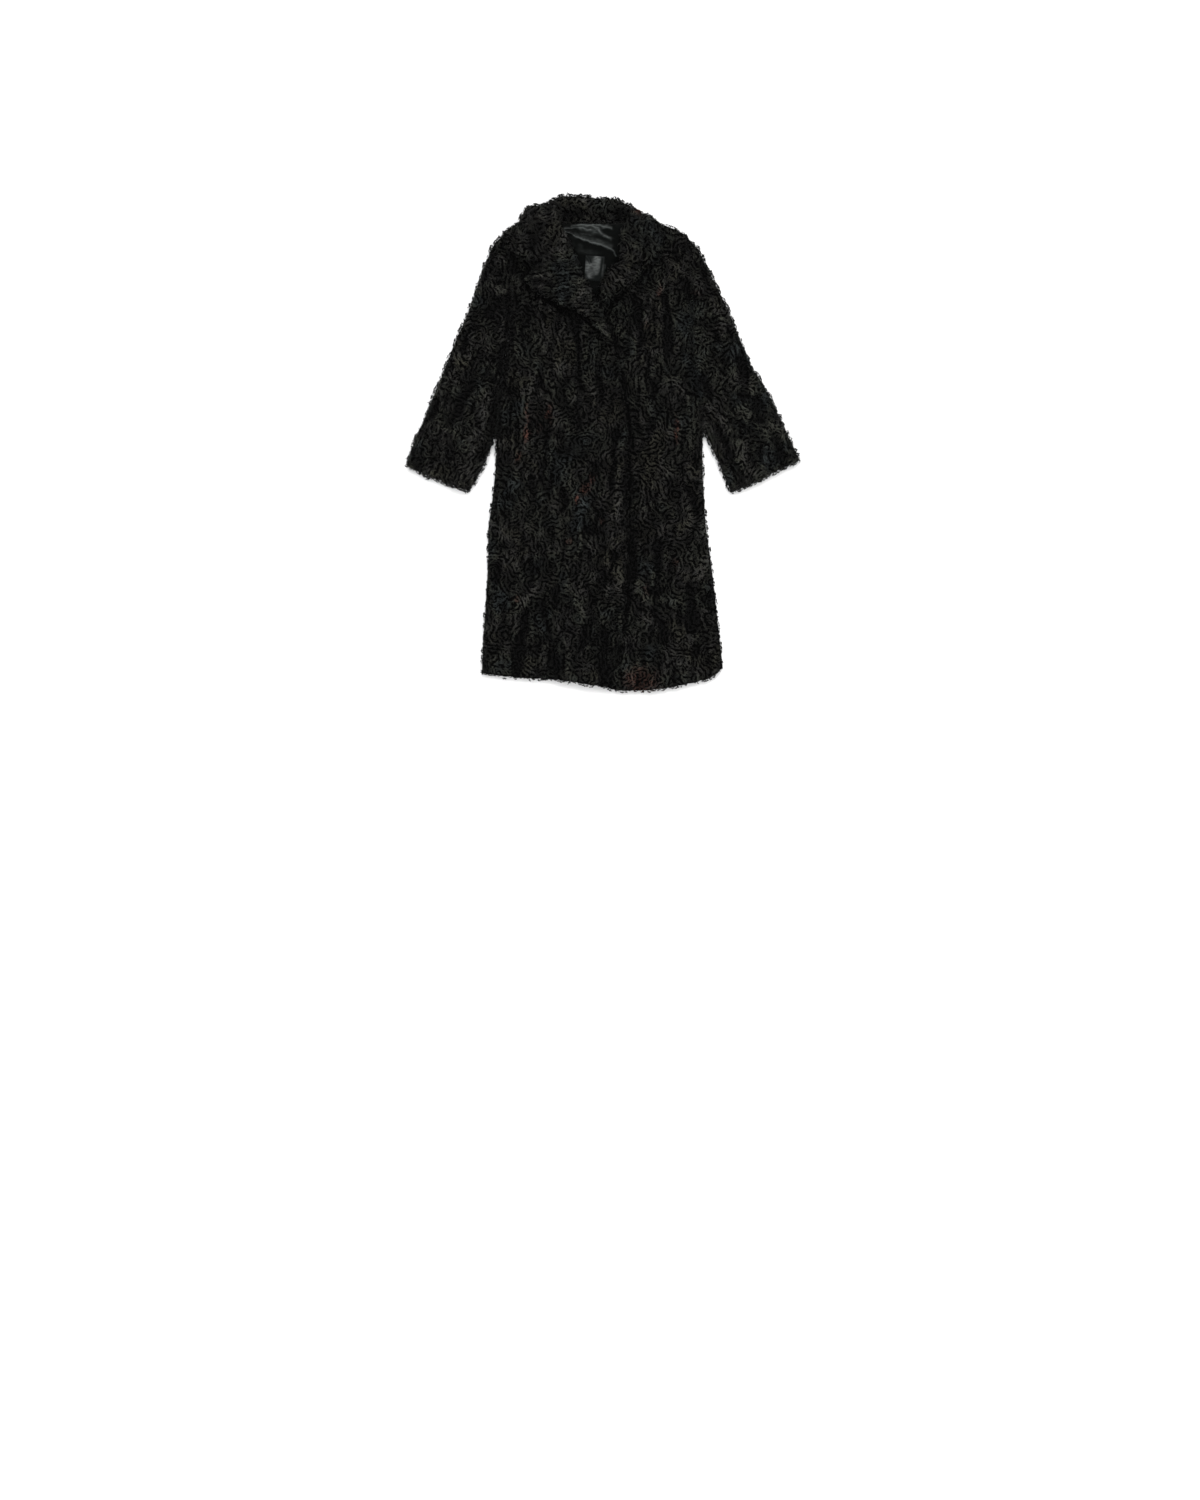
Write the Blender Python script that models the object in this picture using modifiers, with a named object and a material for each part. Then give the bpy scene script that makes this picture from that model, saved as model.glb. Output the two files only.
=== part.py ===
"""Long curly-fur coat laid out flat on its back, closed with the wearer's right front on top.

Every panel is a wall of skin with its clipped curl, 8 mm thick.  The pieces lie on each other in
the order in which the coat is laid: the fall of the collar, the back, the neck lining and its
label, the left front and its lapel, the right front and its lapel, and last the collar's leaves.
Metres, +Z up, +Y towards the collar, +X towards the wearer's left.
"""
import bpy
import numpy as np

# ---------------------------------------------------------------- driving dimensions, metres
WALL = 0.008            # skin with its curl
GAP = 0.0003            # air at every seam and between layers
CURVE_SLACK = 0.0010    # more air on curved seams, where flat faces cut the corners
LINING_WALL = 0.001
LABEL_WALL = 0.0006
SLEEVE_SLIT = 0.001     # air inside a flattened sleeve
TURN_REACH = 0.014      # how far back from the roll the collar starts to turn
HEEL_REACH = 0.004      # how far the stand runs level from the neck seam
VALLEY_DEPTH = 0.0035   # dip of the pile along the armhole seams
VALLEY_WIDTH = 0.016
NECK_CLEARANCE = GAP + 3.0 * CURVE_SLACK   # air between the collar's seam and the fronts
GORGE_DROP = 1.8 * CURVE_SLACK             # how far the fronts' neck seam starts below the collar's
RIGHT_SLEEVE_SLACK = CURVE_SLACK
LEFT_SLEEVE_SLACK = 0.7 * CURVE_SLACK
COLLAR_LYING = 1.25 * WALL                 # the fall of the collar lies below this height
COLLAR_ROUND = 0.3 * WALL                  # rounding of the collar's edges

# ---------------------------------------------------------------- mesh settings
CELL = 0.004            # side of one cell of the height field
FIELD_HALF = (0.480, 0.600)
EMPTY_ABOVE = 1.0       # height given to cells that a skin doesn't cover
SETTLE_ROUNDS = 12      # most times that a skin is raised off the heap
TINY = 1e-6
CURVE_STEPS = 12        # straight steps between two outline points
MINOR_WEIGHT = 0.35     # what a step across an outline's run counts, next to one along it
SHORTEST_STEP = 0.08    # joints nearer than this part of a mesh step share one row
INSET_FADE = 3.0        # an edge's inset fades out over this many times its depth
SPOTS_PER_CELL = 1.6    # how densely a triangle is sampled into the height field
SECTION_STEPS = 24      # straight steps between two points of a collar section
STAND_ROWS, TURN_ROWS, FALL_ROWS = 3, 7, 5
SLEEVE_TURN_STEPS = 4   # points round each side fold of a sleeve

# Outlines run from the hem up, x and y in metres.
BACK_HEM = ((-0.269, -0.513), (-0.184, -0.521), (-0.090, -0.528), (0.011, -0.537), (0.108, -0.539),
            (0.198, -0.528), (0.271, -0.504))
RIGHT_HEM = ((-0.270, -0.516), (-0.184, -0.525), (-0.090, -0.532), (-0.027, -0.541), (0.011, -0.549))
LEFT_HEM = ((-0.063, -0.531), (-0.012, -0.542), (0.026, -0.555), (0.086, -0.557), (0.158, -0.549),
            (0.225, -0.534), (0.261, -0.521), (0.272, -0.505))
RIGHT_SIDE = ((-0.270, -0.516), (-0.268, -0.453), (-0.261, -0.352), (-0.256, -0.262),
              (-0.256, -0.195), (-0.249, -0.145), (-0.241, -0.078), (-0.236, 0.006),
              (-0.235, 0.087), (-0.230, 0.143))
LEFT_SIDE = ((0.272, -0.505), (0.266, -0.453), (0.256, -0.363), (0.245, -0.267), (0.233, -0.183),
             (0.230, -0.127), (0.226, -0.060), (0.226, 0.030), (0.223, 0.075), (0.218, 0.132))
RIGHT_ARMHOLE = ((-0.230, 0.143), (-0.218, 0.190), (-0.210, 0.237), (-0.201, 0.327),
                 (-0.205, 0.408), (-0.216, 0.478))
LEFT_ARMHOLE = ((0.218, 0.132), (0.211, 0.178), (0.206, 0.222), (0.202, 0.323), (0.197, 0.408),
                (0.184, 0.471))
RIGHT_SHOULDER = ((-0.216, 0.478), (-0.187, 0.495), (-0.156, 0.503), (-0.129, 0.505))
LEFT_SHOULDER = ((0.184, 0.471), (0.142, 0.489), (0.102, 0.499), (0.077, 0.502))
BACK_NECK = ((-0.129, 0.505), (-0.108, 0.4975), (-0.026, 0.4945), (0.053, 0.4965), (0.077, 0.502))

RIGHT_EDGE = ((0.011, -0.549), (0.030, -0.480), (0.046, -0.420), (0.054, -0.363), (0.056, -0.262),
              (0.058, -0.127), (0.055, 0.030), (0.045, 0.132), (0.022, 0.228))
RIGHT_ROLL = ((0.022, 0.228), (0.006, 0.280), (-0.007, 0.316), (-0.022, 0.345), (-0.040, 0.372),
              (-0.056, 0.4005))
LEFT_EDGE = ((-0.063, -0.531), (-0.063, -0.352), (-0.063, -0.100), (-0.063, 0.098),
             (-0.056, 0.190), (-0.034, 0.270))
LEFT_ROLL = ((-0.034, 0.270), (-0.016, 0.315), (-0.004, 0.354), (0.009, 0.384), (0.026, 0.3970),
             (0.045, 0.4035))

RIGHT_LAPEL_EDGE = ((0.006, 0.234), (-0.012, 0.266), (-0.054, 0.298), (-0.092, 0.314),
                    (-0.140, 0.338), (-0.173, 0.366))
RIGHT_NOTCH = ((-0.173, 0.366), (-0.163, 0.381), (-0.148, 0.3956))
RIGHT_GORGE = ((-0.148, 0.3956), (-0.056, 0.4005))
LEFT_LAPEL_EDGE = ((-0.022, 0.274), (0.004, 0.299), (0.016, 0.318), (0.040, 0.345), (0.068, 0.363),
                   (0.087, 0.387))
LEFT_LAPEL_TOP = ((0.087, 0.387), (0.073, 0.397), (0.059, 0.4035), (0.045, 0.4035))

LINING_LEFT = ((-0.040, 0.332), (-0.055, 0.362), (-0.070, 0.398), (-0.079, 0.425),
               (-0.092, 0.450), (-0.104, 0.474), (-0.108, 0.494))
LINING_RIGHT = ((-0.002, 0.336), (0.012, 0.350), (0.032, 0.380), (0.056, 0.415), (0.058, 0.450),
                (0.058, 0.475), (0.058, 0.493))
LABEL_CORNERS = ((-0.040, 0.366), (0.003, 0.363), (0.006, 0.419), (-0.037, 0.422))

RIGHT_SLEEVE_OUTER = ((-0.248, 0.440), (-0.266, 0.397), (-0.288, 0.330),
                      (-0.310, 0.276), (-0.344, 0.195), (-0.382, 0.100), (-0.410, 0.033),
                      (-0.434, -0.026), (-0.441, -0.051))
RIGHT_SLEEVE_INNER = ((-0.237, 0.087), (-0.239, 0.030), (-0.254, -0.021),
                      (-0.279, -0.075), (-0.299, -0.107))
RIGHT_CUFF = ((-0.441, -0.051), (-0.392, -0.073), (-0.342, -0.093), (-0.299, -0.107))
LEFT_SLEEVE_OUTER = ((0.215, 0.440), (0.230, 0.411), (0.256, 0.357),
                     (0.286, 0.296), (0.322, 0.208), (0.344, 0.161), (0.374, 0.114),
                     (0.412, 0.033), (0.439, -0.026), (0.446, -0.039))
LEFT_SLEEVE_INNER = ((0.227, 0.085), (0.230, 0.040), (0.243, 0.000),
                     (0.261, -0.042), (0.276, -0.080), (0.290, -0.109))
LEFT_CUFF = ((0.446, -0.039), (0.396, -0.062), (0.342, -0.089), (0.290, -0.109))

# Collar stations from the right gorge round the back neck to the left gorge.
# neck seam x, y | roll x, y | outer edge x, y | heights of the middle of the wall at the neck
# seam, the top of the stand, the roll, the start of the fall and the outer edge
COLLAR_STATIONS = (
    (-0.064, 0.4036, -0.056, 0.4036, -0.148, 0.3966, 0.0185, 0.0190, 0.0250, 0.0330, 0.0275),
    (-0.080, 0.4150, -0.061, 0.4160, -0.189, 0.4240, 0.0185, 0.0190, 0.0255, 0.0330, 0.0275),
    (-0.094, 0.4340, -0.068, 0.4340, -0.190, 0.4460, 0.0215, 0.0220, 0.0290, 0.0360, 0.0298),
    (-0.107, 0.4550, -0.077, 0.4540, -0.189, 0.4710, 0.0240, 0.0250, 0.0320, 0.0390, 0.0310),
    (-0.119, 0.4780, -0.091, 0.4770, -0.188, 0.4920, 0.0245, 0.0280, 0.0360, 0.0430, 0.0308),
    (-0.126, 0.4960, -0.102, 0.5020, -0.179, 0.5100, 0.0240, 0.0310, 0.0400, 0.0440, 0.0240),
    (-0.126, 0.5075, -0.110, 0.5280, -0.167, 0.5310, 0.0225, 0.0310, 0.0390, 0.0330, 0.0070),
    (-0.112, 0.5050, -0.106, 0.5460, -0.150, 0.5140, 0.0140, 0.0280, 0.0280, 0.0090, 0.0043),
    (-0.094, 0.5020, -0.084, 0.5515, -0.112, 0.4900, 0.0130, 0.0230, 0.0170, 0.0045, 0.0043),
    (-0.060, 0.5000, -0.050, 0.5525, -0.060, 0.4800, 0.0130, 0.0220, 0.0140, 0.0043, 0.0043),
    (-0.020, 0.4990, -0.012, 0.5480, -0.010, 0.4760, 0.0130, 0.0220, 0.0140, 0.0043, 0.0043),
    (0.020, 0.5000, 0.026, 0.5460, 0.050, 0.4790, 0.0130, 0.0220, 0.0140, 0.0043, 0.0043),
    (0.046, 0.5020, 0.054, 0.5350, 0.086, 0.4880, 0.0130, 0.0240, 0.0190, 0.0048, 0.0043),
    (0.064, 0.5050, 0.065, 0.5250, 0.098, 0.5075, 0.0150, 0.0280, 0.0300, 0.0140, 0.0046),
    (0.075, 0.5045, 0.064, 0.5120, 0.105, 0.5090, 0.0225, 0.0300, 0.0370, 0.0320, 0.0110),
    (0.076, 0.4930, 0.054, 0.4960, 0.121, 0.4990, 0.0235, 0.0290, 0.0390, 0.0440, 0.0270),
    (0.075, 0.4760, 0.047, 0.4760, 0.129, 0.4820, 0.0245, 0.0280, 0.0360, 0.0430, 0.0320),
    (0.072, 0.4550, 0.044, 0.4550, 0.129, 0.4560, 0.0240, 0.0250, 0.0320, 0.0390, 0.0315),
    (0.068, 0.4340, 0.043, 0.4350, 0.128, 0.4320, 0.0220, 0.0225, 0.0295, 0.0360, 0.0308),
    (0.060, 0.4180, 0.043, 0.4180, 0.124, 0.4090, 0.0190, 0.0195, 0.0260, 0.0328, 0.0286),
    (0.053, 0.4076, 0.045, 0.4076, 0.059, 0.4060, 0.0190, 0.0195, 0.0260, 0.0328, 0.0328),
)

# Long soft folds that stand up from the fronts: ends x, y | half width | height
RIGHT_FOLDS = (
    (-0.150, 0.300, -0.165, -0.120, 0.026, 0.006),
    (-0.105, 0.230, -0.110, -0.300, 0.024, 0.005),
    (-0.060, 0.190, -0.066, -0.060, 0.020, 0.004),
    (-0.205, 0.060, -0.215, -0.400, 0.022, 0.004),
    (-0.150, -0.250, -0.165, -0.480, 0.026, 0.005),
    (-0.040, -0.200, -0.050, -0.480, 0.026, 0.004),
)
LEFT_FOLDS = (
    (0.100, 0.330, 0.110, 0.020, 0.024, 0.006),
    (0.150, 0.330, 0.162, -0.160, 0.022, 0.005),
    (0.112, -0.060, 0.120, -0.330, 0.026, 0.005),
    (0.180, -0.200, 0.205, -0.460, 0.026, 0.005),
    (0.100, -0.360, 0.105, -0.500, 0.024, 0.004),
)
SLEEVE_FOLDS = (
    (-0.250, 0.380, -0.330, 0.120, 0.024, 0.005),
    (-0.290, 0.160, -0.370, -0.020, 0.022, 0.005),
    (0.225, 0.380, 0.300, 0.120, 0.024, 0.005),
    (0.280, 0.150, 0.370, -0.020, 0.022, 0.005),
)
# Free edges that lift off what they lie on: x, y | radius | height
LIFTS = (
    (-0.145, 0.343, 0.045, 0.009),
    (0.070, 0.372, 0.030, 0.004),
)

# ---------------------------------------------------------------- edge profiles
# Each rule gives the inset of the edge, in walls, at a share of the wall's height.
LEVELS = (0.0, 0.15, 0.5, 0.85, 1.0)


def seam_edge(share):
    """A cut edge that meets its neighbour square."""
    return 0.0 * share


def free_edge(share):
    """A turned edge, half round."""
    return 0.5 * (1.0 - np.sqrt(1.0 - (2.0 * share - 1.0) ** 2))


def upper_fold(share):
    """The upper half of an edge that folds down to the layer below."""
    return 1.0 - np.sqrt(1.0 - share ** 2)


def lower_fold(share):
    """The lower half of an edge that folds up to the layer above."""
    return upper_fold(1.0 - share)


# ---------------------------------------------------------------- curves and patches
def spline(points, steps=CURVE_STEPS):
    """Return points along a Catmull-Rom curve through the given points."""
    p = np.asarray(points, float)
    ends = np.vstack([2 * p[0] - p[1], p, 2 * p[-1] - p[-2]])
    t = np.linspace(0.0, 1.0, steps, endpoint=False)[:, None]
    runs = []
    for a, b, c, d in zip(ends[:-3], ends[1:-2], ends[2:-1], ends[3:]):
        runs.append(0.5 * (2 * b + (c - a) * t + (2 * a - 5 * b + 4 * c - d) * t ** 2
                           + (3 * b - a - 3 * c + d) * t ** 3))
    return np.vstack(runs + [p[-1:]])


def moved(points, shift):
    """Return outline points moved sideways."""
    return [(x + shift, y) for x, y in points]


class Edge:
    """One side of a panel: stretches of outline, each with the rule for its profile."""

    def __init__(self, *stretches):
        runs = [spline(points) for points, _ in stretches]
        self.rules = [rule for _, rule in stretches]
        self.points = np.vstack([runs[0]] + [run[1:] for run in runs[1:]])
        extent = np.ptp(self.points, axis=0)
        steps = np.diff(self.points, axis=0) * np.where(extent < extent.max(), MINOR_WEIGHT, 1.0)
        self.length = np.concatenate([[0.0], np.cumsum(np.linalg.norm(steps, axis=1))])
        joints = np.cumsum([len(run) - 1 for run in runs])
        self.joints = self.length[joints] / self.length[-1]
        self.length /= self.length[-1]

    def at(self, t):
        """Return the points at shares t of the edge."""
        return np.stack([np.interp(t, self.length, self.points[:, k]) for k in (0, 1)], axis=-1)

    def inset(self, t, share):
        """Return the inset, in walls, at shares t of the edge and one share of the wall."""
        which = np.minimum(np.searchsorted(self.joints, t - TINY), len(self.rules) - 1)
        rows = [self.rules[index](share) for index in which.ravel()]
        return np.reshape(rows, np.shape(t))


def shares(count, *edges):
    """Return about count steps from 0 to 1, even between the joints of the edges."""
    joints = sorted(joint for edge in edges for joint in edge.joints[:-1])
    stops = np.array([0.0, *joints, 1.0])
    stops = stops[np.concatenate([[True], np.diff(stops) > SHORTEST_STEP / count])]
    runs = [np.linspace(low, high, max(int(round((high - low) * count)), 1), endpoint=False)
            for low, high in zip(stops[:-1], stops[1:])]
    return np.concatenate(runs + [[1.0]])


def drawn_in(share, start, end):
    """Move the shares near 0 and 1 inwards by the two insets, and leave the rest where they are."""
    start_reach = np.clip(INSET_FADE * start, TINY, 0.5)
    end_reach = np.clip(INSET_FADE * end, TINY, 0.5)
    return (share + start * np.maximum(1.0 - share / start_reach, 0.0)
            - end * np.maximum(1.0 - (1.0 - share) / end_reach, 0.0))


class Patch:
    """A surface spanned by four edges: bottom and top run with u, left and right with v."""

    def __init__(self, bottom, top, left, right):
        self.bottom, self.top, self.left, self.right = bottom, top, left, right
        self.width = np.linalg.norm(left.at(0.5) - right.at(0.5))
        self.height = np.linalg.norm(bottom.at(0.5) - top.at(0.5))

    def at(self, u, v):
        """Return the points at shares u across and v along, by a Coons patch."""
        u3, v3 = u[..., None], v[..., None]
        low, high, left, right = self.bottom, self.top, self.left, self.right
        ruled = ((1 - v3) * low.at(u) + v3 * high.at(u) + (1 - u3) * left.at(v) + u3 * right.at(v))
        corners = ((1 - v3) * ((1 - u3) * low.at(0.0) + u3 * low.at(1.0))
                   + v3 * ((1 - u3) * high.at(0.0) + u3 * high.at(1.0)))
        return ruled - corners

    def level(self, u, v, share, wall):
        """Return the points of one level of the wall, drawn in at its edges."""
        across = np.maximum(np.linalg.norm(self.at(0 * v, v) - self.at(0 * v + 1, v), axis=-1), wall)
        along = np.maximum(np.linalg.norm(self.at(u, 0 * u) - self.at(u, 0 * u + 1), axis=-1), wall)
        seam = 0.5 * GAP
        left = (self.left.inset(v, share) * wall + seam) / across
        right = (self.right.inset(v, share) * wall + seam) / across
        bottom = (self.bottom.inset(u, share) * wall + seam) / along
        top = (self.top.inset(u, share) * wall + seam) / along
        return self.at(drawn_in(u, left, right), drawn_in(v, bottom, top))


# ---------------------------------------------------------------- height fields
def field_shape():
    """Return the number of cells along X and Y."""
    return tuple(int(round(2 * half / CELL)) for half in FIELD_HALF)


def cells(points):
    """Return the cell of each point."""
    index = np.floor((points[..., :2] + FIELD_HALF) / CELL).astype(int)
    return index[..., 0], index[..., 1]


def neighbours(field, pick):
    """Return the field with each cell replaced by a pick of its 3 x 3 block."""
    padded = np.pad(field, 1, mode="edge")
    blocks = [padded[i:i + field.shape[0], j:j + field.shape[1]] for i in range(3) for j in range(3)]
    return pick(blocks, axis=0)


def repeated(field, pick, steps):
    """Return the field after a number of neighbour steps."""
    for _ in range(steps):
        field = neighbours(field, pick)
    return field


def sample(field, points):
    """Read a field at points, linear between the middles of its cells."""
    place = (points[..., :2] + FIELD_HALF) / CELL - 0.5
    whole = np.floor(place).astype(int)
    part = place - whole
    i, j = whole[..., 0], whole[..., 1]
    a, b = part[..., 0], part[..., 1]
    return ((1 - a) * (1 - b) * field[i, j] + a * (1 - b) * field[i + 1, j]
            + (1 - a) * b * field[i, j + 1] + a * b * field[i + 1, j + 1])


def heights(points, triangles, pick, empty):
    """Return the highest or lowest point of some triangles over each cell."""
    corner = points[triangles]
    reach = np.abs(corner - np.roll(corner, 1, axis=1))[..., :2].max()
    steps = int(np.ceil(SPOTS_PER_CELL * reach / CELL)) + 1
    i, j = np.meshgrid(np.arange(steps + 1), np.arange(steps + 1), indexing="ij")
    inside = i + j <= steps
    a, b = i[inside] / steps, j[inside] / steps
    weight = np.stack([a, b, 1 - a - b], axis=-1)
    spots = np.einsum("sk,tkc->tsc", weight, corner).reshape(-1, 3)
    field = np.full(field_shape(), empty)
    pick.at(field, cells(spots), spots[:, 2])
    return field


def fold_field(points, folds):
    """Return the height that long folds add: bell-shaped across, fading at both ends."""
    total = np.zeros(points.shape[:-1])
    for x0, y0, x1, y1, half_width, height in folds:
        start = np.array([x0, y0])
        run = np.array([x1, y1]) - start
        along = ((points[..., :2] - start) @ run) / (run @ run)
        nearest = start + np.clip(along, 0.0, 1.0)[..., None] * run
        away = np.linalg.norm(points[..., :2] - nearest, axis=-1)
        fade = np.clip(4.0 * np.minimum(along, 1.0 - along), 0.0, 1.0)
        total += height * fade * np.exp(-(away / half_width) ** 2)
    return total


def lift_field(points):
    """Return how far the free edges stand off what they lie on."""
    total = np.zeros(points.shape[:-1])
    for x, y, radius, height in LIFTS:
        away = np.linalg.norm(points[..., :2] - (x, y), axis=-1)
        total += height * np.exp(-(away / radius) ** 2)
    return total


def valley_field(points, curves):
    """Return the dip of the pile along seam curves."""
    total = np.zeros(points.shape[:-1])
    for curve in curves:
        line = spline(curve, 4)
        away = np.min(np.linalg.norm(points[..., None, :2] - line, axis=-1), axis=-1)
        total = np.maximum(total, VALLEY_DEPTH * np.exp(-(away / VALLEY_WIDTH) ** 2))
    return total


# ---------------------------------------------------------------- solids
class Stack:
    """The heap of pieces laid so far, as the height of its top over each cell."""

    def __init__(self):
        self.top = np.zeros(field_shape())

    def add(self, points, triangles):
        """Lay the faces of one piece on the heap."""
        self.top = np.maximum(self.top, heights(points, triangles, np.maximum, 0.0))

    def settle(self, points_at, triangles, spacing):
        """Return a field of heights on which a skin clears the heap by the gap.

        points_at(field) gives the skin's points for a field; the field starts as a softened
        copy of the heap and is raised wherever the skin's flat faces would still cut in.
        """
        floor = neighbours(self.top, np.max)
        steps = max(int(round(spacing / CELL)), 1)
        field = repeated(repeated(floor, np.max, steps), np.mean, steps) + GAP
        for _ in range(SETTLE_ROUNDS):
            skin = heights(points_at(field), triangles, np.minimum, EMPTY_ABOVE)
            covered = skin < EMPTY_ABOVE
            short = np.where(covered, floor + GAP - neighbours(skin, np.min), 0.0)
            if short.max() <= TINY:
                break
            short = np.maximum(short, 0.0)
            field += repeated(repeated(short, np.max, steps), np.mean, 1)
        beside = repeated(floor, np.max, 2 * steps + 1) > 0.0
        return np.where(beside, field, 0.0)


def grid_triangles(rows, columns):
    """Return the triangles of a grid of points numbered row by row, facing up."""
    corner = (np.arange(rows - 1)[:, None] * columns + np.arange(columns - 1)).ravel()
    first = np.stack([corner, corner + 1, corner + columns + 1], axis=-1)
    second = np.stack([corner, corner + columns + 1, corner + columns], axis=-1)
    return np.vstack([first, second])


def grid_quads(rows, columns):
    """Return the four-sided faces of a grid of points numbered row by row, facing up."""
    corner = (np.arange(rows - 1)[:, None] * columns + np.arange(columns - 1)).ravel()
    return np.stack([corner, corner + 1, corner + columns + 1, corner + columns], axis=-1)


def grid_rim(rows, columns):
    """Return the numbers of a grid's outer points, counter-clockwise seen from above."""
    number = np.arange(rows * columns).reshape(rows, columns)
    return np.concatenate([number[0, :-1], number[:-1, -1], number[-1, :0:-1], number[:0:-1, 0]])


def wall_mesh(layers, rows, columns):
    """Join grids of points, from the underside up, into one closed wall.

    The lowest and the highest grid are kept whole, and those between them only at the rim.
    """
    rim = grid_rim(rows, columns)
    points = np.vstack([layers[0]] + [layer[rim] for layer in layers[1:-1]] + [layers[-1]])
    top_start = len(points) - rows * columns
    middle_starts = rows * columns + len(rim) * np.arange(len(layers) - 2)
    rings = [rim] + [start + np.arange(len(rim)) for start in middle_starts] + [top_start + rim]
    quads = grid_quads(rows, columns)
    faces = [*quads[:, ::-1], *(quads + top_start)]
    for lower, upper in zip(rings[:-1], rings[1:]):
        faces += [*np.stack([lower, np.roll(lower, -1), np.roll(upper, -1), upper], axis=-1)]
    return points, faces


def new_object(name, points, faces, material, collection):
    """Make a mesh object from points and faces."""
    mesh = bpy.data.meshes.new(name)
    mesh.from_pydata(points.tolist(), [], [list(map(int, face)) for face in faces])
    mesh.update()
    mesh.materials.append(material)
    mesh.shade_smooth()
    mesh.set_sharp_from_angle(angle=np.radians(50.0))
    item = bpy.data.objects.new(name, mesh)
    collection.objects.link(item)
    return item


def cloth_panel(name, patch, size, look, stack, wall=WALL, levels=LEVELS, folds=(), lifted=False,
                valleys=()):
    """Lay one flat panel on the stack: two skins and a rim whose edges follow their rules."""
    material, collection = look
    v, u = np.meshgrid(shares(size[1], patch.left, patch.right),
                       shares(size[0], patch.bottom, patch.top), indexing="ij")
    rows, columns = u.shape
    plans = [patch.level(u, v, share, wall).reshape(-1, 2) for share in levels]
    skin = grid_triangles(rows, columns)
    own = [fold_field(plan, folds) + (lift_field(plan) if lifted else 0.0) for plan in plans]

    def low_points(field):
        return np.column_stack([plans[0], sample(field, plans[0]) + own[0]])

    if stack.top.any():
        spacing = max(patch.width / size[0], patch.height / size[1])
        field = stack.settle(low_points, skin, spacing)
    else:
        field = np.zeros(field_shape())
    layers = []
    for share, plan, extra in zip(levels, plans, own):
        body = wall - valley_field(plan, valleys)
        layers.append(np.column_stack([plan, sample(field, plan) + extra + share * body]))

    item = new_object(name, *wall_mesh(layers, rows, columns), material, collection)
    stack.add(*triangles_of(item))
    return item


def triangles_of(item):
    """Return an object's points and triangles, with its modifiers."""
    mesh = item.evaluated_get(bpy.context.evaluated_depsgraph_get()).to_mesh()
    mesh.calc_loop_triangles()
    points = np.array([vertex.co[:] for vertex in mesh.vertices])
    triangles = np.array([triangle.vertices[:] for triangle in mesh.loop_triangles])
    return points, triangles


def outer_ring(width, across):
    """Return the outer ring of each section: shares across it, and heights off its middle."""
    half = WALL + 0.5 * SLEEVE_SLIT
    turn = np.linspace(0.0, 0.5 * np.pi, SLEEVE_TURN_STEPS)
    bend = half * (1.0 - np.cos(turn)) / width
    middle = half / width + across[1:-1] * (1.0 - 2.0 * half / width)
    line = np.hstack([bend, middle, 1.0 - bend[:, :0:-1]])
    rise = half * np.concatenate([np.sin(turn), np.ones(len(across) - 2), np.sin(turn)[:0:-1]])
    return np.hstack([line, 1.0 - line]), np.concatenate([rise, -rise])


def inner_ring(width, across):
    """Return the inner ring of each section: shares across it, and heights off its middle."""
    line = WALL / width + across * (1.0 - 2.0 * WALL / width)
    flat = np.full(len(across) - 2, 0.5 * SLEEVE_SLIT)
    return np.hstack([line, line[:, -2:0:-1]]), np.concatenate([[0.0], flat, [0.0], -flat])


def flat_sleeve(name, patch, size, look, valley):
    """Make a flattened tube that is open at the armhole and at the cuff."""
    material, collection = look
    v = np.linspace(0.0, 1.0, size[1] + 1)
    across = np.linspace(0.0, 1.0, size[0] + 1)
    width = np.linalg.norm(patch.at(0 * v, v) - patch.at(0 * v + 1, v), axis=-1)[:, None]
    end = (0.5 * GAP + CURVE_SLACK) / patch.height
    along = end + v[:, None] * (1.0 - 2.0 * end)
    middle = WALL + 0.5 * SLEEVE_SLIT

    outer_u, outer_z = outer_ring(width, across)
    outer = patch.at(outer_u, along + 0.0 * outer_u)
    raised = fold_field(outer, SLEEVE_FOLDS) - valley_field(outer, (valley,))
    outer = np.dstack([outer, middle + outer_z + np.where(outer_z >= 0.99 * middle, raised, 0.0)])

    inner_u, inner_z = inner_ring(width, across)
    inner = patch.at(inner_u, along + 0.0 * inner_u)
    raised = np.where(inner_z > 0.0, fold_field(inner, SLEEVE_FOLDS), 0.0)
    inner = np.dstack([inner, middle + inner_z + raised])
    return loft_tube(name, outer, inner, material, collection)


def loft_tube(name, outer, inner, material, collection):
    """Join an outer and an inner ring at each section into one tube with square ends."""
    rows, wide = outer.shape[:2]
    narrow = inner.shape[1]
    start = rows * wide
    points = np.vstack([outer.reshape(-1, 3), inner.reshape(-1, 3)])
    faces = []
    for row in range(rows - 1):
        for k in range(wide):
            a, b = row * wide + k, row * wide + (k + 1) % wide
            faces.append((a, a + wide, b + wide, b))
        for k in range(narrow):
            a, b = start + row * narrow + k, start + row * narrow + (k + 1) % narrow
            faces.append((a, b, b + narrow, a + narrow))
    for row, flip in ((0, False), (rows - 1, True)):
        ring = [row * wide + k for k in range(wide)]
        core = [start + row * narrow + k for k in range(narrow)]
        faces += ring_faces(points, ring, core, flip)
    return new_object(name, points, faces, material, collection)


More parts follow.
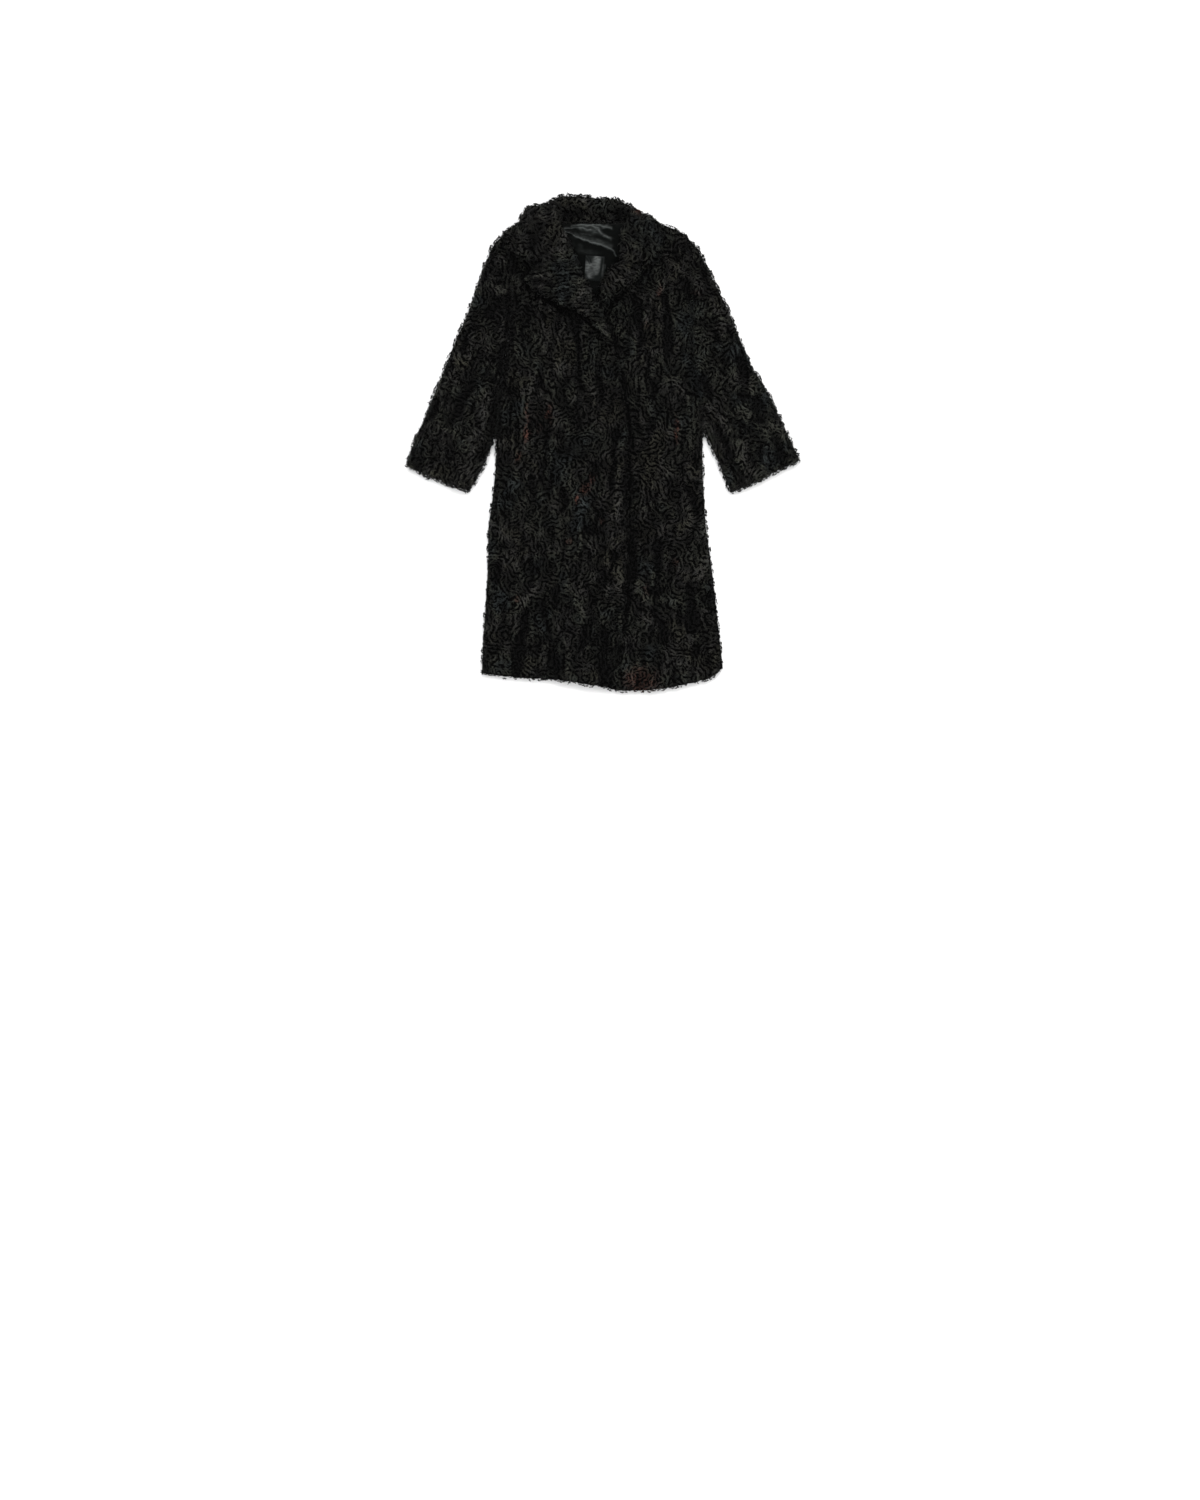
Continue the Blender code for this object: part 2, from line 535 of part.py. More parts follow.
def ring_faces(points, ring, core, flip):
    """Fill the flat band between a ring and the shorter ring inside it."""
    def share(loop):
        steps = np.linalg.norm(np.diff(points[loop + loop[:1]], axis=0), axis=1)
        return np.concatenate([[0.0], np.cumsum(steps)]) / steps.sum()
    ring_share, core_share = share(ring), share(core)
    faces = []
    i = j = 0
    while i < len(ring) or j < len(core):
        step_ring = j == len(core) or (i < len(ring) and ring_share[i + 1] <= core_share[j + 1])
        a, b = ring[i % len(ring)], core[j % len(core)]
        if step_ring:
            i += 1
            face = (a, ring[i % len(ring)], b)
        else:
            j += 1
            face = (a, core[j % len(core)], b)
        faces.append(face[::-1] if flip else face)
    return faces


def collar_surface():
    """Return the middle of the collar's wall as rows of points, one row for each station."""
    table = spline(COLLAR_STATIONS, 2)
    neck, roll, edge, rise = table[:, 0:2], table[:, 2:4], table[:, 4:6], table[:, 6:]

    def toward(start, end, reach):
        run = end - start
        size = np.linalg.norm(run, axis=1, keepdims=True)
        return start + run / size * np.minimum(reach, 0.5 * size)

    heel = toward(neck, roll, HEEL_REACH)
    stand = toward(roll, neck, TURN_REACH)
    fall = toward(roll, edge, TURN_REACH)
    plan = np.stack([neck, heel, stand, roll, fall, edge], axis=1)
    stations = np.dstack([plan, rise[:, [0, 0, 1, 2, 3, 4]]])
    surface = np.stack([section(row) for row in stations])
    surface[..., 2] = np.maximum(surface[..., 2], 0.5 * WALL + GAP)
    return surface


def neck_seam(stations):
    """Return the neck edge of a front, from the gorge up, just outside the collar's stand."""
    table = np.asarray(stations)
    away = table[:, 0:2] - table[:, 2:4]
    away /= np.linalg.norm(away, axis=1, keepdims=True)
    line = table[:, 0:2] + away * NECK_CLEARANCE
    line[0, 1] -= GORGE_DROP
    return [tuple(point) for point in line]


def section(points):
    """Return one section of the collar: seam, stand, round turn at the roll, fall and edge."""
    path = spline(points, SECTION_STEPS)
    steps = np.linalg.norm(np.diff(path, axis=0), axis=1)
    length = np.concatenate([[0.0], np.cumsum(steps)])
    start, heel, stand, _, fall, edge = length[::SECTION_STEPS]
    stops = np.concatenate([[start], np.linspace(heel, stand, STAND_ROWS)[:-1],
                            np.linspace(stand, fall, TURN_ROWS)[:-1],
                            np.linspace(fall, edge, FALL_ROWS)])
    return np.stack([np.interp(stops, length, path[:, k]) for k in range(3)], axis=-1)


def make_collar(look):
    """Make the collar: one open surface, thickened, with rounded edges."""
    material, collection = look
    surface = collar_surface()
    rows, columns = surface.shape[:2]
    faces = grid_quads(rows, columns)
    item = new_object("collar", surface.reshape(-1, 3), faces, material, collection)
    solid = item.modifiers.new("wall", "SOLIDIFY")
    solid.thickness = WALL
    solid.offset = 0.0
    rounded = item.modifiers.new("edges", "BEVEL")
    rounded.width = COLLAR_ROUND
    rounded.segments = 1
    rounded.limit_method = "ANGLE"
    rounded.angle_limit = np.radians(60.0)
    return item


# ---------------------------------------------------------------- materials
def plain_material(name, colour, roughness):
    """Return a Principled material of one colour."""
    material = bpy.data.materials.new(name)
    material.use_nodes = True
    shader = material.node_tree.nodes["Principled BSDF"]
    shader.inputs["Base Color"].default_value = (*colour, 1.0)
    shader.inputs["Roughness"].default_value = roughness
    shader.inputs["Metallic"].default_value = 0.0
    return material


# ---------------------------------------------------------------- assembly
def centre_on_origin(items):
    """Move every piece so that the middle of the coat's underside is at the origin."""
    spots = np.vstack([triangles_of(item)[0] for item in items])
    low, high = spots.min(axis=0), spots.max(axis=0)
    shift = np.array([-(low[0] + high[0]) / 2, -(low[1] + high[1]) / 2, -low[2]])
    for item in items:
        mesh = item.data
        co = np.empty(len(mesh.vertices) * 3)
        mesh.vertices.foreach_get("co", co)
        mesh.vertices.foreach_set("co", (co.reshape(-1, 3) + shift).ravel())
        mesh.update()


def build_coat():
    """Lay the coat, piece by piece, from the surface up."""
    for item in list(bpy.data.objects):
        bpy.data.objects.remove(item, do_unlink=True)
    collection = bpy.data.collections.new("fur_coat")
    bpy.context.scene.collection.children.link(collection)
    fur = plain_material("black_curly_fur", (0.022, 0.021, 0.021), 0.62)
    lighter_fur = plain_material("black_curly_fur_trim", (0.030, 0.028, 0.027), 0.60)
    satin = plain_material("black_satin", (0.014, 0.016, 0.015), 0.28)
    grey_satin = plain_material("grey_satin_label", (0.120, 0.125, 0.122), 0.35)
    body_look = (fur, collection)
    trim_look = (lighter_fur, collection)
    stack = Stack()

    collar = make_collar(trim_look)
    points, triangles = triangles_of(collar)
    lying = points[triangles][..., 2].max(axis=1) < COLLAR_LYING
    stack.add(points, triangles[lying])

    armholes = (RIGHT_ARMHOLE, LEFT_ARMHOLE)
    back = Patch(Edge((BACK_HEM, free_edge)),
                 Edge((RIGHT_SHOULDER, lower_fold), (BACK_NECK, seam_edge),
                      (LEFT_SHOULDER[::-1], lower_fold)),
                 Edge((RIGHT_SIDE, lower_fold), (RIGHT_ARMHOLE, seam_edge)),
                 Edge((LEFT_SIDE, lower_fold), (LEFT_ARMHOLE, seam_edge)))
    cloth_panel("back_panel", back, (16, 30), body_look, stack)

    lining = Patch(Edge(((LINING_LEFT[0], LINING_RIGHT[0]), seam_edge)),
                   Edge(((LINING_LEFT[-1], (-0.026, 0.4925), LINING_RIGHT[-1]), seam_edge)),
                   Edge((LINING_LEFT, seam_edge)), Edge((LINING_RIGHT, seam_edge)))
    cloth_panel("neck_lining", lining, (9, 9), (satin, collection), stack, wall=LINING_WALL,
                levels=(0.0, 1.0))
    corner = LABEL_CORNERS
    label = Patch(Edge(((corner[0], corner[1]), seam_edge)), Edge(((corner[3], corner[2]), seam_edge)),
                  Edge(((corner[0], corner[3]), seam_edge)), Edge(((corner[1], corner[2]), seam_edge)))
    cloth_panel("label", label, (4, 5), (grey_satin, collection), stack, wall=LABEL_WALL,
                levels=(0.0, 1.0))

    right_neck = neck_seam(COLLAR_STATIONS[:7])
    left_neck = neck_seam(COLLAR_STATIONS[:13:-1])
    left_front = Patch(Edge((LEFT_HEM, free_edge)),
                       Edge(((left_neck[-1], *LEFT_SHOULDER[-2::-1]), upper_fold)),
                       Edge((LEFT_EDGE, free_edge), (LEFT_ROLL, lower_fold),
                            ((LEFT_ROLL[-1], left_neck[0]), seam_edge),
                            *[(pair, seam_edge) for pair in zip(left_neck, left_neck[1:])]),
                       Edge((LEFT_SIDE, upper_fold), (LEFT_ARMHOLE, seam_edge)))
    cloth_panel("front_left", left_front, (13, 34), body_look, stack, folds=LEFT_FOLDS,
                valleys=armholes)
    left_lapel = Patch(Edge(((LEFT_ROLL[0], LEFT_LAPEL_EDGE[0]), free_edge)),
                       Edge((LEFT_LAPEL_TOP[::-1], seam_edge)),
                       Edge((LEFT_ROLL, upper_fold)), Edge((LEFT_LAPEL_EDGE, free_edge)))
    cloth_panel("lapel_left", left_lapel, (7, 12), trim_look, stack, lifted=True)

    right_front = Patch(Edge((RIGHT_HEM, free_edge)),
                        Edge(((*RIGHT_SHOULDER[:-1], right_neck[-1]), upper_fold)),
                        Edge((RIGHT_SIDE, upper_fold), (RIGHT_ARMHOLE, seam_edge)),
                        Edge((RIGHT_EDGE, free_edge), (RIGHT_ROLL, lower_fold),
                             ((RIGHT_ROLL[-1], right_neck[0]), seam_edge),
                             *[(pair, seam_edge) for pair in zip(right_neck, right_neck[1:])]))
    cloth_panel("front_right", right_front, (13, 34), body_look, stack, folds=RIGHT_FOLDS,
                valleys=armholes)
    right_lapel = Patch(Edge(((RIGHT_LAPEL_EDGE[0], RIGHT_ROLL[0]), free_edge)),
                        Edge((RIGHT_NOTCH, seam_edge), (RIGHT_GORGE, seam_edge)),
                        Edge((RIGHT_LAPEL_EDGE, free_edge)), Edge((RIGHT_ROLL, upper_fold)))
    cloth_panel("lapel_right", right_lapel, (10, 12), trim_look, stack, lifted=True)

    right_end = moved(RIGHT_ARMHOLE[::-1], -RIGHT_SLEEVE_SLACK)
    right_sleeve = Patch(Edge((right_end, seam_edge)), Edge((RIGHT_CUFF, seam_edge)),
                         Edge(((right_end[0], *RIGHT_SLEEVE_OUTER), seam_edge)),
                         Edge(((right_end[-1], *RIGHT_SLEEVE_INNER), seam_edge)))
    left_end = moved(LEFT_ARMHOLE, LEFT_SLEEVE_SLACK)
    left_sleeve = Patch(Edge((left_end, seam_edge)), Edge((LEFT_CUFF[::-1], seam_edge)),
                        Edge(((left_end[0], *LEFT_SLEEVE_INNER), seam_edge)),
                        Edge(((left_end[-1], *LEFT_SLEEVE_OUTER), seam_edge)))
    flat_sleeve("sleeve_right", right_sleeve, (9, 15), body_look, RIGHT_ARMHOLE)
    flat_sleeve("sleeve_left", left_sleeve, (9, 15), body_look, LEFT_ARMHOLE)
    centre_on_origin(list(collection.objects))


build_coat()
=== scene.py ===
"""Looks of a long black curly-fur coat that lies flat on a pale floor.

Each fur panel is a thin shell of skin drawn in from its solid, and thousands of small curled locks fill the
space up to the solid's face.  The neck lining and its label are creased satin.  Metres, +Z up, +Y towards the
collar, +X towards the wearer's left.
"""

import logging
from collections.abc import Callable
from dataclasses import dataclass, field
from enum import Enum

import bmesh
import bpy
import numpy as np
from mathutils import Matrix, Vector


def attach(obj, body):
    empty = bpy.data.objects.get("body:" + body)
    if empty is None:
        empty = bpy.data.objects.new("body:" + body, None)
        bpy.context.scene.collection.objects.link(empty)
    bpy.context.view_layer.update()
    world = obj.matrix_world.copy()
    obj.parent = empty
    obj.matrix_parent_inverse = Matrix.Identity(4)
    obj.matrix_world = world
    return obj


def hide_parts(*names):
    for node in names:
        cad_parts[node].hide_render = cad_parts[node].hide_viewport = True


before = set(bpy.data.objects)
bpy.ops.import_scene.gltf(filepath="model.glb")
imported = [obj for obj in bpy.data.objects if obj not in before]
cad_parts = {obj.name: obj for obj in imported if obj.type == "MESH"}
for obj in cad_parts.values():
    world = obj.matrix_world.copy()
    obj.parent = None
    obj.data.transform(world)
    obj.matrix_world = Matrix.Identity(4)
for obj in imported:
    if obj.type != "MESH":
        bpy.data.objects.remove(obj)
log = logging.getLogger("coat")

BODY = "root"
SEED = 7
MM = 0.001

NOISE_PRIMES = (73856093, 19349663, 83492791)
NOISE_SEED, NOISE_MIX, NOISE_MASK, NOISE_TOP = 2654435, 1274126177, 0x7FFFFFFF, 0xFFFF
NOISE_START = 1000.0    # keeps the numbers of the cells above zero
TUFT_SIZE, TUFT_SEED = 0.0085, 53
LEAST = 1e-12

Array = np.ndarray


# ---------------------------------------------------------------- numbers on surfaces
def smooth_step(low: float, high: float, value: Array) -> Array:
    """Rise from 0 to 1 between low and high, with level ends.

    Args:
        low: value at which the rise starts.
        high: value at which it ends.
        value: the values.

    Returns:
        The share of the rise, 3t^2 - 2t^3.
    """
    t = np.clip((value - low) / (high - low), 0.0, 1.0)
    return t * t * (3.0 - 2.0 * t)


def soft_noise(points: Array, size: float, seed: int) -> Array:
    """Give smooth random values in space.

    Random values sit on the corners of cubes, and each point takes their blend, eased on each axis.

    Args:
        points: places, three numbers each.
        size: side of the cubes, metres.
        seed: picks the pattern.

    Returns:
        One value from 0 to 1 for each point.
    """
    place = points / size + NOISE_START
    whole = np.floor(place).astype(np.int64)
    part = place - whole
    ease = part * part * (3.0 - 2.0 * part)
    total = np.zeros(points.shape[:-1])
    for corner in np.ndindex(2, 2, 2):
        x, y, z = np.moveaxis((whole + corner) * NOISE_PRIMES, -1, 0)
        key = x ^ y ^ z ^ (seed * NOISE_SEED)
        key = (key ^ (key >> 13)) * NOISE_MIX & NOISE_MASK
        value = ((key ^ (key >> 16)) & NOISE_TOP) / NOISE_TOP
        weight = np.prod(np.where(np.array(corner) == 1, ease, 1.0 - ease), axis=-1)
        total += weight * value
    return total


def layered_noise(points: Array, size: float, seed: int, layers: int = 3) -> Array:
    """Add up noise at sizes that halve, each half as strong, and stretch it back over 0 to 1."""
    total = sum(0.5 ** k * (soft_noise(points, size / 2 ** k, seed + k) - 0.5) for k in range(layers))
    return np.clip(0.5 + 0.9 * total, 0.0, 1.0)


def patches(points: Array, size: float, seed: int, low: float = 0.25, high: float = 0.75) -> Array:
    """Sharpen noise into soft patches: 0 where it is under low, 1 where it is over high."""
    return smooth_step(low, high, soft_noise(points, size, seed))


def steep_share(normals: Array) -> Array:
    """Return 0 for level faces, rising to 1 for the steep ones at the rims."""
    return smooth_step(0.75, 0.35, np.abs(normals[:, 2]))


def hem_share(normals: Array) -> Array:
    """Return how squarely faces look towards the hem, 0 to 1."""
    return smooth_step(0.3, 0.9, -normals[:, 1])


def unit(vectors: Array) -> Array:
    """Return vectors at length one."""
    return vectors / np.maximum(np.linalg.norm(vectors, axis=-1, keepdims=True), LEAST)


def across_frame(normals: Array) -> tuple[Array, Array]:
    """Return two directions square to each normal: one near +X on level faces, and the other."""
    level = np.abs(normals[:, 2:]) > 0.9
    flat = unit(np.array([1.0, 0.0, 0.0]) - normals * normals[:, :1])
    steep = unit(np.cross([0.0, 0.0, 1.0], normals))
    side = np.where(level, flat, steep)
    return side, np.cross(normals, side)


def away_from_line(points: Array, line: Array) -> Array:
    """Return each point's distance in plan from a chain of straight runs.

    Args:
        points: places, of which x and y count.
        line: corners of the chain, x and y.

    Returns:
        The shortest distance for each point.
    """
    best = np.full(points.shape[:-1], np.inf)
    for start, end in zip(line[:-1], line[1:]):
        run = end - start
        away = points[..., :2] - start
        share = np.clip((away @ run) / max(run @ run, LEAST), 0.0, 1.0)
        best = np.minimum(best, np.linalg.norm(away - share[..., None] * run, axis=-1))
    return best


# ---------------------------------------------------------------- triangle meshes
@dataclass
class Soup:
    """Points and triangles of one closed surface."""

    points: Array
    triangles: Array

    @classmethod
    def of_node(cls, node: str) -> "Soup":
        """Copy a node's mesh from the frame, with its loose triangles merged at shared points."""
        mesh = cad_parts[node].data
        mesh.calc_loop_triangles()
        points = np.empty(len(mesh.vertices) * 3, np.float32)
        mesh.vertices.foreach_get("co", points)
        triangles = np.empty(len(mesh.loop_triangles) * 3, np.int32)
        mesh.loop_triangles.foreach_get("vertices", triangles)
        rounded, index = np.unique(np.round(points.reshape(-1, 3), 5), axis=0, return_inverse=True)
        triangles = index.ravel()[triangles].reshape(-1, 3)
        whole = (np.diff(np.sort(triangles, axis=1), axis=1) > 0).all(axis=1)
        return cls(rounded.astype(float), triangles[whole])

    def face_normals(self) -> Array:
        """Return each triangle's normal, as long as twice its area."""
        a, b, c = (self.points[self.triangles[:, k]] for k in range(3))
        return np.cross(b - a, c - a)

    def gathered(self, values: Array) -> Array:
        """Add up each triangle's value at its three points."""
        index = self.triangles.ravel()
        return np.bincount(index, weights=np.repeat(values, 3), minlength=len(self.points))

    def normals(self) -> Array:
        """Return each point's normal, the area-weighted mean of its triangles' normals."""
        faces = self.face_normals()
        return unit(np.stack([self.gathered(faces[:, axis]) for axis in range(3)], axis=-1))

    def split(self, limit: Array) -> "Soup":
        """Cut in two each side that is longer than its limit and the longest of a triangle.

        Args:
            limit: longest side allowed at each point, metres.

        Returns:
            The finer surface, or the same one where no side was too long.
        """
        def join(*corners: Array) -> Array:
            return np.stack(corners, axis=1)

        sides = np.sort(self.triangles[:, [[0, 1], [1, 2], [2, 0]]].reshape(-1, 2), axis=1)
        keys, which = np.unique(sides[:, 0] * len(self.points) + sides[:, 1], return_inverse=True)
        unique = join(*np.divmod(keys, len(self.points)))
        which = which.reshape(-1, 3)
        length = np.linalg.norm(self.points[unique[:, 0]] - self.points[unique[:, 1]], axis=1)
        longest = np.zeros(len(unique), bool)
        longest[which[np.arange(len(which)), np.argmax(length[which], axis=1)]] = True
        long = longest & (length > limit[unique].mean(axis=1))
        if not long.any():
            return self
        middle = np.full(len(unique), -1)
        middle[long] = len(self.points) + np.arange(long.sum())
        cut = middle[which]
        count = (cut >= 0).sum(axis=1)
        (a, b, c), (p, q, r) = self.triangles[count == 3].T, cut[count == 3].T
        parts = [self.triangles[count == 0], join(p, q, r), join(a, p, r), join(b, q, p), join(c, r, q)]
        for turn in range(3):
            order = np.roll([0, 1, 2], -turn)
            (a, b, c), (p, q, r) = self.triangles[:, order].T, cut[:, order].T
            one, two = (count == 1) & (p >= 0), (count == 2) & (r < 0)
            for pick, fans in ((one, ((a, p, c), (p, b, c))), (two, ((a, p, c), (p, q, c), (p, b, q)))):
                parts += [join(*(corner[pick] for corner in fan)) for fan in fans]
        return Soup(np.vstack([self.points, self.points[unique[long]].mean(axis=1)]), np.vstack(parts))

    def evened(self, bend: float = 0.12) -> "Soup":
        """Turn sides between faces that lie nearly level, so that slivers become even triangles."""
        grid = bmesh.new()
        mesh = bpy.data.meshes.new("scratch")
        mesh.from_pydata(self.points, [], self.triangles)
        grid.from_mesh(mesh)
        level = [side for side in grid.edges if side.calc_face_angle(np.pi) < bend]
        bmesh.ops.beautify_fill(grid, faces=grid.faces, edges=level, method="ANGLE")
        grid.to_mesh(mesh)
        grid.free()
        triangles = np.empty(3 * len(mesh.polygons), np.int32)
        mesh.polygons.foreach_get("vertices", triangles)
        bpy.data.meshes.remove(mesh)
        return Soup(self.points, triangles.reshape(-1, 3).astype(np.int64))

    def refined(self, spacing: Callable[[Array, Array], Array], rounds: int = 40) -> "Soup":
        """Split until no side is longer than spacing(points, normals) gives for it."""
        soup = self
        for _ in range(rounds):
            finer = soup.split(spacing(soup.points, soup.normals()))
            if finer is soup:
                break
            soup = finer
        return soup

    def meshed(self, spacing: Callable[[Array, Array], Array]) -> "Soup":
        """Refine in three steps, from wide to close, and even out the triangles after each."""
        soup = self
        for wider in (4.0, 2.0, 1.0):
            soup = soup.refined(lambda points, normals: wider * spacing(points, normals)).evened()
        return soup

    def eased(self, values: Array, rounds: int) -> Array:
        """Even out values over the surface by taking the mean over each point's triangles."""
        count = np.maximum(self.gathered(np.ones(len(self.triangles))), 1.0)
        for _ in range(rounds):
            values = self.gathered(values[self.triangles].mean(axis=1)) / count
        return values

    def scatter(self, count: int, rng: np.random.Generator) -> tuple[Array, Array]:
        """Return random places spread evenly over the surface, and their normals."""
        faces = self.face_normals()
        area = np.linalg.norm(faces, axis=1)
        pick = rng.choice(len(area), size=count, p=area / area.sum())
        a, b = rng.random((2, count, 1))
        flip = a + b > 1.0
        a, b = np.where(flip, 1.0 - a, a), np.where(flip, 1.0 - b, b)
        corner = self.points[self.triangles[pick]]
        spots = corner[:, 0] + a * (corner[:, 1] - corner[:, 0]) + b * (corner[:, 2] - corner[:, 0])
        normals = self.normals()[self.triangles[pick]]
        blend = normals[:, 0] * (1.0 - a - b) + normals[:, 1] * a + normals[:, 2] * b
        return spots, unit(0.5 * unit(blend) + 0.5 * unit(faces[pick]))

    def area(self) -> float:
        """Return the area of the whole surface."""
        return 0.5 * float(np.linalg.norm(self.face_normals(), axis=1).sum())


def make_piece(name: str, soup: Soup, material: bpy.types.Material,
               attributes: dict[str, Array], corner_uv: Array | None = None) -> bpy.types.Object:
    """Make a smooth mesh piece that rides on the coat.

    Args:
        name: the piece's name.
        soup: its points and triangles.
        material: its finish.
        attributes: one number for each point, by name.
        corner_uv: u and v for each corner of each triangle.

    Returns:
        The new object.
    """
    mesh = bpy.data.meshes.new(name)
    mesh.vertices.add(len(soup.points))
    mesh.vertices.foreach_set("co", soup.points.astype(np.float32).ravel())
    count = len(soup.triangles)
    mesh.loops.add(3 * count)
    mesh.loops.foreach_set("vertex_index", soup.triangles.astype(np.int32).ravel())
    mesh.polygons.add(count)
    mesh.polygons.foreach_set("loop_start", np.arange(0, 3 * count, 3, dtype=np.int32))
    mesh.update(calc_edges=True)
    mesh.shade_smooth()
    for key, values in attributes.items():
        layer = mesh.attributes.new(key, "FLOAT", "POINT")
        layer.data.foreach_set("value", values.astype(np.float32))
    if corner_uv is not None:
        layer = mesh.uv_layers.new(name="strand")
        layer.uv.foreach_set("vector", corner_uv.astype(np.float32).ravel())
    mesh.materials.append(material)
    piece = bpy.data.objects.new(name, mesh)
    bpy.context.scene.collection.objects.link(piece)
    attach(piece, BODY)
    return piece


# ---------------------------------------------------------------- what lies over what
class Layers:
    """Height maps of every node, from which a place knows whether it can be seen."""

    CELL = 0.003
    MARGIN = 0.03
    FAN = 4              # spots along a triangle's side when a map is drawn
    SLACK = 0.0025       # another node may lie this much higher before it hides a place
    FOLD = 0.0125        # a node hides itself only from farther off than this
    TOUCH = 0.001
    OUTWARDS = 0.0018    # how far off a face's neighbour is looked for
    CLEAR = 0.004
    SEAMS = ((0.0065, 1.8), (0.0035, 1.0))    # how far across a seam reaches, and its strength
    LEE = 0.0035         # an edge this much higher throws a shade
    RINGS = ((0.45, 1.0), (1.0, 0.55))        # share of the reach, and strength of the shade

    def __init__(self, soups: dict[str, Soup]) -> None:
        """Draw the highest and the lowest height of each node over a grid of cells."""
        every = np.vstack([soup.points for soup in soups.values()])
        self.start = every.min(axis=0)[:2] - self.MARGIN
        reach = every.max(axis=0)[:2] + self.MARGIN - self.start
        self.shape = tuple(np.ceil(reach / self.CELL).astype(int) + 1)
        self.maps = {name: self.draw(soup) for name, soup in soups.items()}

    def cells(self, points: Array) -> tuple[Array, Array]:
        """Return the cell of each point."""
        index = np.clip(((points[..., :2] - self.start) / self.CELL).astype(int), 0, np.array(self.shape) - 1)
        return index[..., 0], index[..., 1]

    def draw(self, soup: Soup) -> tuple[Array, Array]:
        """Draw a node's two maps: each triangle is read at a fan of spots closer than the cells."""
        finer = soup.refined(lambda points, normals: np.full(len(points), 3.0 * self.CELL))
        corner = finer.points[finer.triangles]
        fan = [(i, j, self.FAN - i - j) for i in range(self.FAN + 1) for j in range(self.FAN + 1 - i)]
        spots = np.einsum("sk,tkc->tsc", np.array(fan) / self.FAN, corner).reshape(-1, 3)
        cell = self.cells(spots)
        high, low = np.full(self.shape, -1.0), np.full(self.shape, 1.0)
        np.maximum.at(high, cell, spots[:, 2])
        np.minimum.at(low, cell, spots[:, 2])
        return high, low

    def others(self, name: str) -> list[tuple[Array, Array]]:
        """Return the high and the low map of every node but one."""
        return [pair for other, pair in self.maps.items() if other != name]

    def meets(self, name: str, cell: tuple[Array, Array], bottom: Array, top: Array) -> Array:
        """Tell at which cells some other node lies between two heights."""
        return np.any([(high[cell] > bottom) & (low[cell] < top) for high, low in self.others(name)], axis=0)

    def shown(self, name: str, points: Array, normals: Array) -> Array:
        """Tell how open each place of a node's surface is.

        A place is hidden where another node lies over it, or under it if it faces down, or right
        beside it if it faces sideways.  A node hides itself only from far above.

        Args:
            name: the node that the places belong to.
            points: the places.
            normals: the way that they face.

        Returns:
            1 for open and 0 for hidden, one value for each place.
        """
        out = points + self.OUTWARDS * normals
        here, height = self.cells(points), points[:, 2]
        high, low = self.maps[name]
        over = high[here] > height + self.FOLD
        under = low[here] < height - self.FOLD
        for high, low in self.others(name):
            over |= high[here] > height + self.SLACK
            under |= low[here] < height - self.SLACK
        touched = self.meets(name, self.cells(out), out[:, 2] - self.TOUCH, out[:, 2] + self.TOUCH)
        open_up = (normals[:, 2] > -0.25) & ~over
        open_down = (normals[:, 2] < 0.25) & ~under
        return ((open_up | open_down) & ~touched).astype(float)

    def seam(self, name: str, points: Array, normals: Array) -> Array:
        """Tell which places of a node's walls stand at a seam, open above, with another node just across.

        Args:
            name: the node that the places belong to.
            points: the places.
            normals: the way that they face.

        Returns:
            1 where the other node is a stitch away, 1.8 where the gap is wider, and 0 elsewhere.
        """
        flat = unit(normals * (1.0, 1.0, 0.0))
        here, height = self.cells(points), points[:, 2]
        wall = np.abs(normals[:, 2]) < 0.75
        total = np.zeros(len(points))
        for reach, strength in self.SEAMS:
            across = self.cells(points + reach * flat)
            over = np.any([np.minimum(high[here], high[across]) > height + self.CLEAR
                           for high, _ in self.others(name)], axis=0)
            near = self.meets(name, across, height - 0.003, height + self.TOUCH)
            total = np.where(near & ~over & wall, strength, total)
        return total

    def shade(self, name: str, points: Array, reach: float = 0.012) -> Array:
        """Tell how far each place lies in the lee of another node's edge that stands above it.

        It looks outwards in eight directions at two distances for something higher.

        Args:
            name: the node that the places belong to.
            points: the places.
            reach: the longer distance.

        Returns:
            0 in the open, rising to 1 close under an edge, one value for each place.
        """
        highest = np.max([high for high, _ in self.others(name)], axis=0)
        total = np.zeros(len(points))
        for turn in 0.25 * np.pi * np.arange(8):
            for far, weight in self.RINGS:
                way = far * reach * np.array([np.cos(turn), np.sin(turn), 0.0])
                lee = highest[self.cells(points + way)] > points[:, 2] + self.LEE
                total = np.maximum(total, weight * lee)
        return total

    def beside(self, name: str, points: Array, normals: Array, reach: float = 0.007) -> Array:
        """Tell where another node lies right beside a node's face, at about the same height.

        Args:
            name: the node that the places belong to.
            points: the places.
            normals: the way that they face.
            reach: how far off it is looked for, in plan.

        Returns:
            1 for close and 0 for free, one value for each place.
        """
        flat = normals * (1.0, 1.0, 0.0)
        cell = self.cells(points + reach * unit(flat))
        near = self.meets(name, cell, points[:, 2] - self.CLEAR, points[:, 2] + self.CLEAR)
        return (near & (np.linalg.norm(flat, axis=1) > 0.12)).astype(float)


